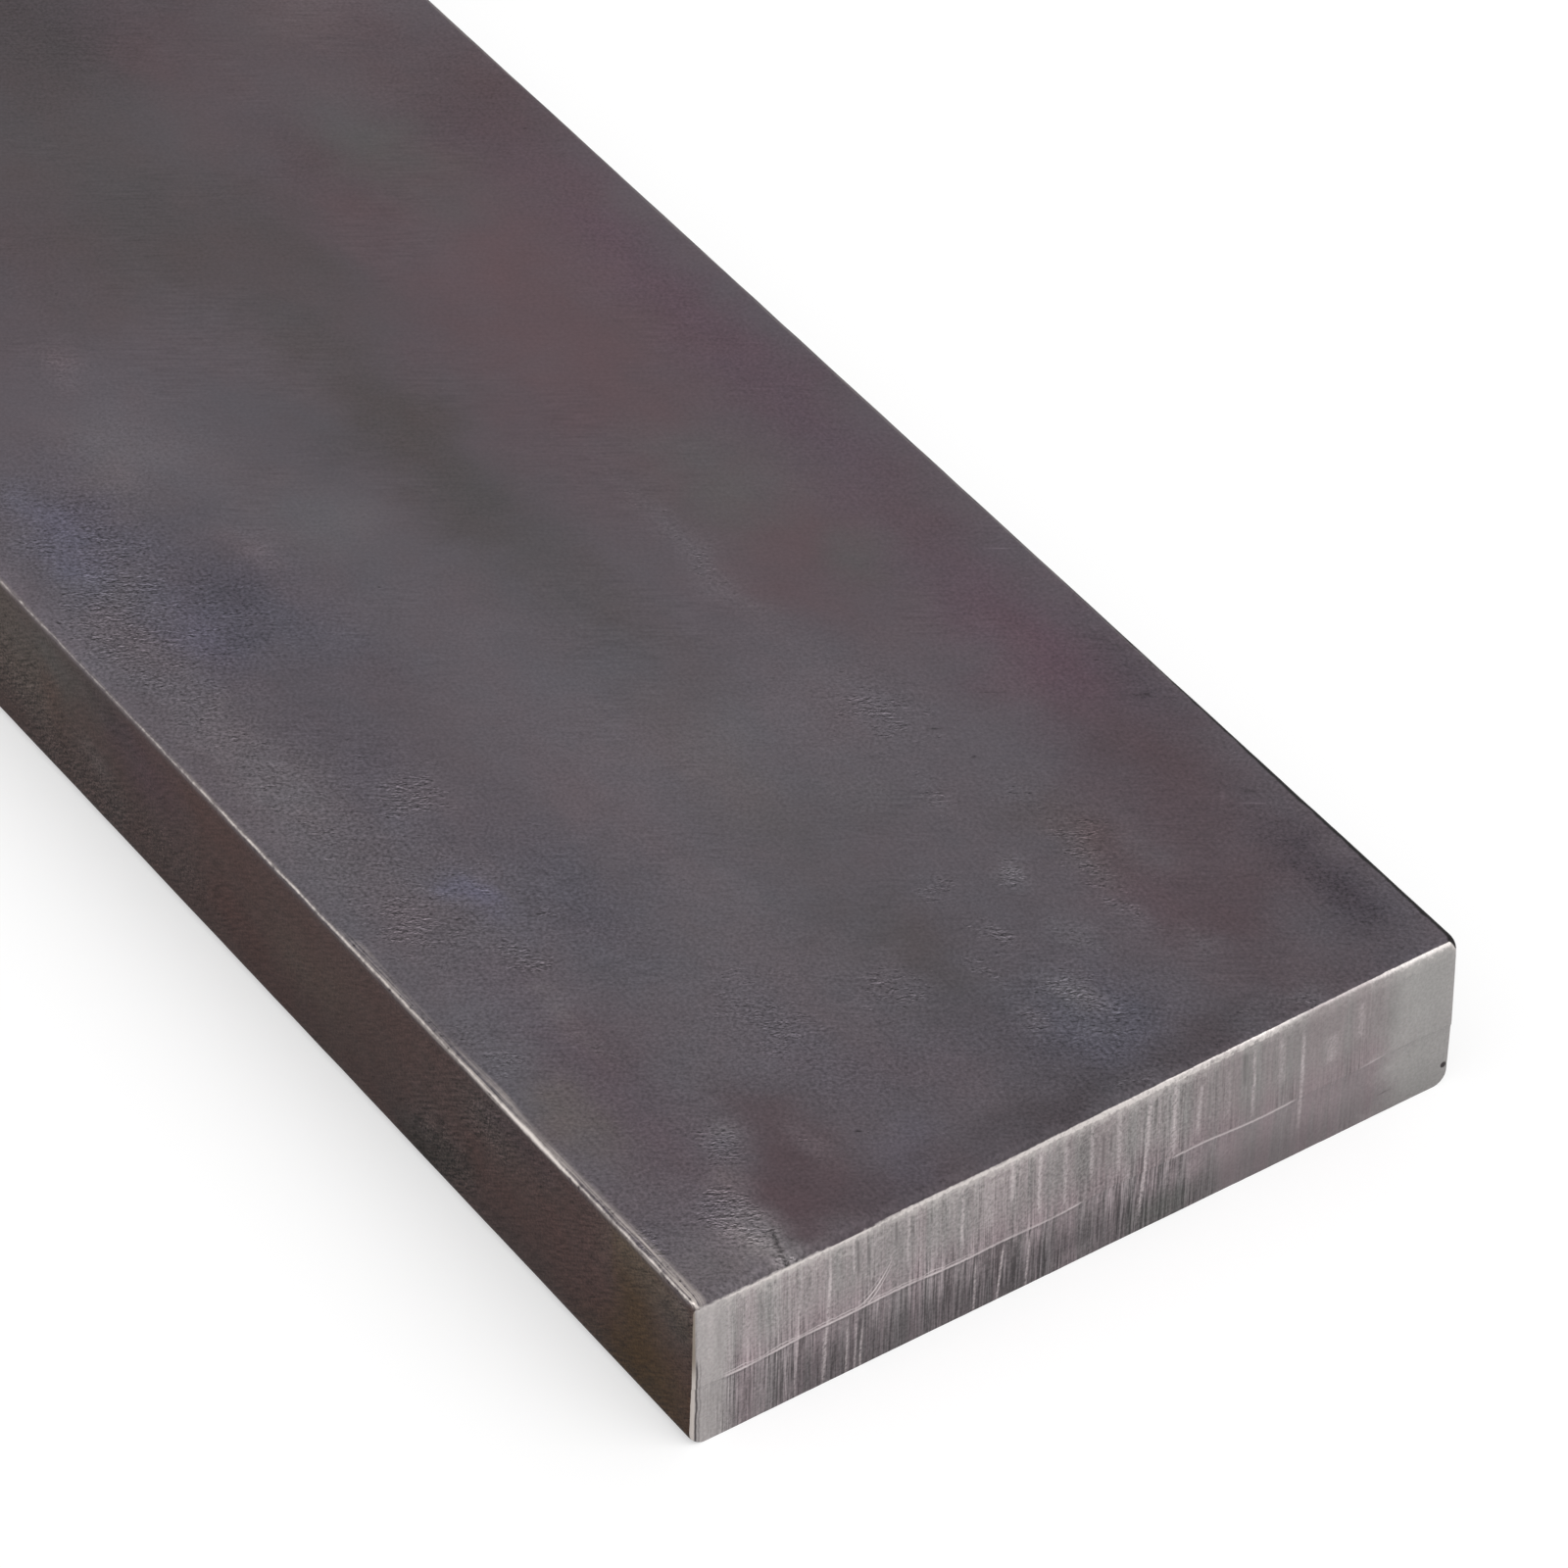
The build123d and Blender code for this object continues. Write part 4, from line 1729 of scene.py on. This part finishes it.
@dataclass(frozen=True)
class ShearedSteel:
    """Bare steel of a sheared face: a burnished land, a striated fracture and a bright lip.

    The colours named foot are those at the lower end of the land and of the fracture.
    """

    land: Finish = Finish(linear(146, 140, 140), 0.4, 0.85)
    land_foot: Colour = linear(142, 132, 134)
    fracture: Colour = linear(130, 122, 124)
    fracture_foot: Colour = linear(98, 92, 94)
    fracture_roughness: float = 0.52
    margin: Colour = linear(166, 161, 160)
    far_margin: Colour = linear(155, 153, 151)
    # Bare steel under the rolled skin, lighter in part as a painted highlight of the rollover.
    lip: Colour = linear(212, 205, 202)
    ridge: Colour = linear(196, 186, 187)
    crest: Colour = linear(206, 196, 197)
    bead: Colour = linear(192, 184, 179)
    dull_bead: Colour = linear(138, 128, 118)
    mossy: Colour = linear(92, 93, 90)
    # Dark of the dark streaks, the pit and the scratch, and painted shade under the break line and in
    # the bead's crease.
    dark_mark_and_shade: Colour = linear(58, 52, 53)
    grey: Colour = (0.98, 1.012, 1.0)
    pink: Colour = (1.022, 0.982, 0.995)
    least_value: float = 0.5

    def build(self, ground: Ground) -> Look:
        """The whole sheared face, laid out by height over the break line and by Y.

        Args:
            ground: The place being shaded.

        Returns:
            The look of the bare steel.
        """
        face = CutFace.of(ground)
        colour = ground.tree.shade(self._steel(face), self._value(face).most(self.least_value))
        for layer in (self._streaked, self._break_line, self._lip, self._marks):
            colour = layer(face, colour)
        rougher = self.fracture_roughness - self.land.roughness
        roughness = face.broken * rougher + self.land.roughness
        ridges = 0.04 * face.hair + 0.02 * face.streak
        height = face.over.rise(2.0, -0.2) * ridges + 0.012 * face.grain
        return Look(colour, roughness, self.land.metallic, height)

    def _value(self, face: CutFace) -> Num:
        """Lightness: upright ridges, grain, slow clouds, and the darker parts of land and fracture.

        Args:
            face: The sheared face.

        Returns:
            A factor round 1.
        """
        y, over, broken = face.ground.y, face.over, face.broken
        # How strong the ridges are. They fade in the smooth zone and by both sides.
        vivid = face.ground.tree.noise(face.upwards, (0.0, 0.25, 0.12), 2, 0.5).rise(-0.12, 0.12)
        edges = (face.by_near * 0.8).most(face.by_far)
        ridged = (0.3 + 0.3 * over.rise(3.2, 0.2)) * (1 - 0.6 * face.smooth)
        ridged = ridged + broken * (1 - 0.9 * face.smooth - ridged)
        ridged = ridged * (0.5 + 0.9 * vivid) * (1 - edges)
        calm = 1 - 0.4 * (y - 0.5).bell(5.5) - 0.3 * broken * (y + 15.0).bell(10.0)
        plain = 1 - 0.75 * face.smooth.most(edges)
        value = 1 + ridged * calm * (4.2 * face.hair + 0.8 * face.streak)
        value = value + face.grain * (0.25 + 1.1 * plain)
        value = value + 0.2 * face.cloud + 0.1 * (face.panels.rise(-0.06, 0.06) - 0.5) * plain
        # The land's darker band and far part, and the fracture's darker middle.
        band = y.rise(-3.0, -1.5) * y.rise(8.4, 7.0)
        level = 0.15 * band + 0.16 * y.rise(6.8, 10.5) * (1 - face.by_far)
        level = level * (1 - 0.4 * y.rise(19.0, 23.0) * over.rise(2.8, 1.2))
        level = level - 0.04 * y.rise(-24.0, -30.0)
        sunk = 0.2 * (y + 7.5).bell(6.5) * over.rise(-6.8, -4.4)
        value = value - level * (1 - broken) - sunk * broken
        for spot in CUT_CLOUDS:
            value = value - spot.at(y, over)
        return value

    def _steel(self, face: CutFace) -> Any:
        """Tone of the land and the fracture, with a mossy patch and paler margins by the sides.

        Args:
            face: The sheared face.

        Returns:
            A colour's socket.
        """
        tree, y, over = face.ground.tree, face.ground.y, face.over
        upper = tree.blend(over.rise(4.0, 0.5), self.land.colour, self.land_foot)
        # The fracture darkens downwards, less so by the sides and in the middle.
        deep = (over + 1.3 * y.rise(4.0, 9.0) - 1.1 * (y - 17.0).bell(6.0)).rise(0.0, -4.2)
        deep = deep * (1 - 0.9 * y.rise(-23.5, -29.0)) * (1 - 0.3 * y.rise(19.0, 25.0))
        deep = deep * (1 - 0.35 * y.bell(4.0) * over.rise(-4.0, -5.2))
        lower = tree.blend(deep, self.fracture, self.fracture_foot)
        colour = tree.blend(face.broken * (1 - 0.3 * face.smooth), upper, lower)
        tint = tree.blend(face.panels * 5.0 + 0.5, self.grey, self.pink)
        colour = tree.vector("MULTIPLY", (colour, tint))
        moss = (y - 8.0).bell(6.0) * (over + 4.8).bell(2.8)
        colour = tree.blend(moss * 0.58, colour, self.mossy)
        far = tree.shade(self.far_margin, 1 - 0.16 * over.rise(-1.5, -6.0))
        colour = tree.blend(face.by_far * 0.85, colour, far)
        near = tree.shade(self.margin, 1 - 0.06 * over.rise(0.5, -2.5))
        return tree.blend(face.by_near * 0.9, colour, near)

    def _streaked(self, face: CutFace, colour: Any) -> Any:
        """The single lines of the tables, slightly bent and lumpy, dark ones under light ones.

        Args:
            face: The sheared face.
            colour: The colour so far.

        Returns:
            The new colour's socket.
        """
        tree = face.ground.tree
        lumps = 0.75 + 2.6 * face.grain + 1.5 * face.cloud
        bent = face.ground.y + 0.35 * tree.noise(face.upwards, (0.0, 0.1, 0.22), 2, 0.5)
        for streaks, tone in ((DARK_STREAKS, self.dark_mark_and_shade), (LIGHT_STREAKS, self.ridge)):
            total: Value = 0.0
            for streak in streaks:
                total = streak.at(bent, face.over).most(total)
            colour = tree.blend(total * lumps, colour, tone)
        return colour

    def _break_line(self, face: CutFace, colour: Any) -> Any:
        """A thin raised line where the cut ends, painted shade at its foot, and a curl that leaves it.

        The line has a rough part with a twin over it, a crisp part and a faint one. The
        curl is a fan of fine lines along a parabola over the break line.

        Args:
            face: The sheared face.
            colour: The colour so far.

        Returns:
            The new colour's socket.
        """
        tree, y, over = face.ground.tree, face.ground.y, face.over
        gaps = tree.noise(face.ground.mm, (0.0, 0.5, 0.0), 3, 0.6)
        rough_part = y.rise(-32.6, -31.6) * y.rise(0.6, -0.6) * (0.85 + 2.4 * gaps)
        rough_part = rough_part * (1 - 0.3 * y.rise(-12.0, -5.0))
        crisp_part = 0.7 * y.rise(8.2, 8.9) * y.rise(20.3, 19.3)
        faint_part = (y - 27.3).bell(1.6) * 0.4
        shown = rough_part.most(crisp_part).most(faint_part)
        place = over - 0.05 + (0.15 * face.hair + 0.15 * face.streak)
        crest = place.bell(0.26) * shown
        twin = (place - 0.35 - 0.8 * gaps).bell(0.1) * rough_part * y.rise(-8.0, -14.0) * 0.7
        foot = (place + 0.25).bell(0.22) * rough_part
        # The curl, whose lines lie 0.55 mm apart.
        from_stem = y + 20.6
        curl = over - 0.2 - 0.28 * from_stem * from_stem
        fan = (curl * (2 * math.pi / 0.55)).wave().rise(0.1, 0.9) * curl.bell(1.0)
        fan = fan * (from_stem - 1.8).bell(2.2) * over.rise(0.0, 0.3)
        # Painted shade at the foot of the raised line.
        colour = tree.blend(foot * 0.35, colour, self.dark_mark_and_shade)
        return tree.blend(crest.most(twin).most(fan * 1.3), colour, self.crest)

    def _lip(self, face: CutFace, colour: Any) -> Any:
        """A bright ragged line under the rolled skin, with a grainy haze below it, both partly a
        painted highlight.

        Args:
            face: The sheared face.
            colour: The colour so far.

        Returns:
            The new colour's socket.
        """
        tree, y, over = face.ground.tree, face.ground.y, face.over
        spotted = tree.noise(face.ground.mm, 1.4, 4, 0.8)
        under = tree.attribute("sheared") - bare_from(face.ground, over)
        # The line's strength along Y.
        fading = 1.05 - 0.2 * y.rise(4.0, 12.0) - 0.65 * y.rise(16.0, 22.0)
        fading = fading + 0.3 * y.rise(26.0, 30.0) - 0.4 * (y + 17.6).bell(3.0)
        fading = fading - 0.2 * (y - 13.5).bell(3.0)
        line = (under + 0.9 * spotted).rise(0.38, 0.16) * fading * (1.0 + 1.8 * face.grain)
        haze = (under + 3.0 * spotted + 0.8 * face.streak).rise(1.3, 0.1)
        haze = haze * (0.5 - 0.22 * face.smooth) * (0.4 + 0.6 * fading)
        shown = haze.most(line) * over.rise(5.6, 6.6) * (0.3 + 0.7 * y.rise(-33.2, -31.0))
        return tree.blend(shown, colour, self.lip)

    def _marks(self, face: CutFace, colour: Any) -> Any:
        """The near side's drawn bead with painted shade in its crease, a small pit and a short scratch.

        Args:
            face: The sheared face.
            colour: The colour so far.

        Returns:
            The new colour's socket.
        """
        tree, y, over = face.ground.tree, face.ground.y, face.over
        bead = tree.blend(over.rise(3.2, 0.2), self.dull_bead, self.bead)
        colour = tree.blend(y.rise(-34.6, -34.76), colour, bead)
        wobble = tree.noise(face.ground.mm, (0.0, 0.0, 0.35), 2, 0.5)
        low = over.rise(3.2, 2.0)
        # Painted shade along the crease beside the bead, and a fainter second line of it.
        crease = (y + 34.58 + 0.5 * wobble).bell(0.16) * (0.25 + 0.7 * low)
        second = (y + 34.28 + 0.9 * wobble).bell(0.1) * low * 0.35
        # The pit and the scratch are on the fore end only.
        fore = face.ground.x.rise(0.0, 1.0)
        pit = ((y - 34.45).bell(0.4) * (over + 4.2).bell(0.45)).rise(0.1, 0.5) * fore
        scratch = (y - 28.7).bell(0.9) * (over + 4.2).bell(0.15) * 0.5 * fore
        return tree.blend(crease.most(second).most(pit).most(scratch), colour, self.dark_mark_and_shade)


# ---- The bar's material -----------------------------------------------------------


@dataclass(frozen=True)
class SteelSkin:
    """The bar's material: mill scale, rubbed corners and bare sheared steel in one."""

    scale: MillScale = MillScale()
    rubbed: RubbedEdge = RubbedEdge()
    cut: ShearedSteel = ShearedSteel()
    sheen: float = 0.1

    def build(self, half_sizes: Triple) -> bpy.types.Material:
        """Makes the material: the sheared steel where it is bare, and the skin elsewhere.

        Args:
            half_sizes: Half the bar's length, width and thickness in millimetres.

        Returns:
            The new material.
        """
        material = bpy.data.materials.new("mill_scale_and_sheared_steel")
        tree = Tree(material)
        ground = Ground.of_object(tree, half_sizes)
        skin = self.rubbed.apply(ground, self.scale.build(ground))
        ragged = tree.noise(ground.mm, 1.1, 4, 0.7)
        edge = bare_from(ground, tree.attribute("above_break"))
        bare = (tree.attribute("sheared") - edge + 0.12 * ragged).rise(-0.03, 0.03)
        shaders = (bare, self._shader(tree, skin), self._shader(tree, self.cut.build(ground)))
        both = tree.node("ShaderNodeMixShader", shaders)
        tree.node("ShaderNodeOutputMaterial", {"Surface": both[0]})
        return material

    def _shader(self, tree: Tree, look: Look) -> bpy.types.NodeSocket:
        """A Principled shader with a look's colour, gloss and relief.

        Args:
            tree: The material's tree.
            look: The look.

        Returns:
            The shader's socket.
        """
        bump = tree.node("ShaderNodeBump", {"Strength": 1.0, "Distance": MM, "Height": look.height})
        inputs = {
            "Base Color": look.colour,
            "Roughness": look.roughness,
            "Metallic": look.metallic,
            "Normal": bump[0],
            "Specular IOR Level": self.sheen,
        }
        return tree.node("ShaderNodeBsdfPrincipled", inputs)[0]


# ---- Studio ---------------------------------------------------------------------


@dataclass(frozen=True)
class Studio:
    """Pale floor, even light and the camera.

    Distances are in metres, lens and sensor in millimetres, and angles in degrees. key
    and fill are the strengths of the soft light and of the light from all round.
    """

    aim: Triple = (0.45655, 0.00274, 0.015)
    azimuth: float = 55.714
    elevation: float = 41.42
    distance: float = 0.69852
    lens: float = 207.76
    sensor: float = 36.0
    clip: Span = (0.01, 100.0)
    floor_radius: float = 20.0
    floor_corners: int = 96
    floor_colour: float = 0.55
    floor_lift: float = 0.5
    fill: float = 0.55
    key: float = 1.75
    key_from: Triple = (0.62, 0.12, 0.78)
    key_spread: float = 60.0

    def build(self) -> None:
        """Makes the floor, the lights and the camera."""
        self._floor()
        self._sky()
        self._key()
        self._camera()
        bpy.context.scene.view_settings.view_transform = "Standard"

    def _back(self) -> Vector:
        """Direction from the aim to the camera.

        Returns:
            A vector of length 1.
        """
        turn, lift = math.radians(self.azimuth), math.radians(self.elevation)
        level = math.cos(lift)
        return Vector((math.sin(turn) * level, -math.cos(turn) * level, math.sin(lift)))

    @staticmethod
    def _placed(name: str, data: Any, matrix: Matrix) -> bpy.types.Object:
        """Puts a camera or a light into the scene.

        Args:
            name: Its name.
            data: What it is.
            matrix: Its place and turn.

        Returns:
            The new object.
        """
        placed = bpy.data.objects.new(name, data)
        bpy.context.scene.collection.objects.link(placed)
        placed.matrix_world = matrix
        return placed

    @staticmethod
    def _facing(direction: Vector) -> Matrix:
        """Turn of a camera or a light that looks along a direction, upright."""
        return direction.to_track_quat("-Z", "Y").to_matrix().to_4x4()

    def _camera(self) -> None:
        """Camera that looks along the view direction at the aim."""
        data = bpy.data.cameras.new("camera")
        data.lens = self.lens
        data.sensor_width = self.sensor
        data.clip_start, data.clip_end = self.clip
        back = self._back()
        stand = Matrix.Translation(Vector(self.aim) + self.distance * back)
        bpy.context.scene.camera = self._placed("camera", data, stand @ self._facing(-back))

    def _seen_white(self, tree: Tree) -> Num:
        """1 for rays from the eye, a mirror or glass, and 0 for the light on the object.

        Args:
            tree: The tree that asks.

        Returns:
            The number's socket.
        """
        path = tree.node("ShaderNodeLightPath")
        seen = [Num(tree, path[f"Is {kind} Ray"]) for kind in ("Camera", "Glossy", "Transmission")]
        return seen[0].most(seen[1]).most(seen[2])

    def _floor(self) -> None:
        """Round pale floor that keeps the bar's shadow."""
        angles = np.linspace(0, 2 * math.pi, self.floor_corners, endpoint=False)
        rim = self.floor_radius * np.column_stack([np.cos(angles), np.sin(angles), 0 * angles])
        mesh = bpy.data.meshes.new("floor")
        mesh.from_pydata(rim.tolist(), [], [list(range(len(rim)))])
        floor = bpy.data.objects.new("floor", mesh)
        bpy.context.scene.collection.objects.link(floor)
        material = bpy.data.materials.new("pale_floor")
        tree = Tree(material)
        grey = (self.floor_colour,) * 3 + (1.0,)
        matt = tree.node("ShaderNodeBsdfDiffuse", {"Color": grey})
        lift = self._seen_white(tree) * self.floor_lift
        glow = tree.node("ShaderNodeEmission", {"Strength": lift})
        both = tree.node("ShaderNodeAddShader", (matt[0], glow[0]))
        tree.node("ShaderNodeOutputMaterial", {"Surface": both[0]})
        mesh.materials.append(material)

    def _sky(self) -> None:
        """Even white light from all round, seen as plain white."""
        world = bpy.data.worlds.new("studio")
        bpy.context.scene.world = world
        tree = Tree(world)
        seen = self._seen_white(tree)
        strength = seen * (1.0 - self.fill) + self.fill
        glow = tree.node("ShaderNodeBackground", {"Color": (1, 1, 1, 1), "Strength": strength})
        tree.node("ShaderNodeOutputWorld", {"Surface": glow[0]})

    def _key(self) -> None:
        """Broad soft light from above the fore end, the same everywhere on the floor."""
        data = bpy.data.lights.new("key", "SUN")
        data.energy = self.key
        data.angle = math.radians(self.key_spread)
        key = self._placed("key", data, self._facing(-Vector(self.key_from)))
        key.visible_camera = False


# ---- Making it ------------------------------------------------------------------


def main() -> None:
    """Builds the studio and the bar."""
    logging.basicConfig(level=logging.INFO, format="%(name)s: %(message)s")
    Studio().build()
    log.info("studio ready")
    plan = FlatBar.from_frame(NODE)
    bar = plan.build()
    bar.data.materials.append(SteelSkin().build(plan.half_sizes))
    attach(bar, "root")
    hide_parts(NODE)
    log.info("%s: %d points, %d faces", bar.name, len(bar.data.vertices), len(bar.data.polygons))


if __name__ == "__main__":
    main()
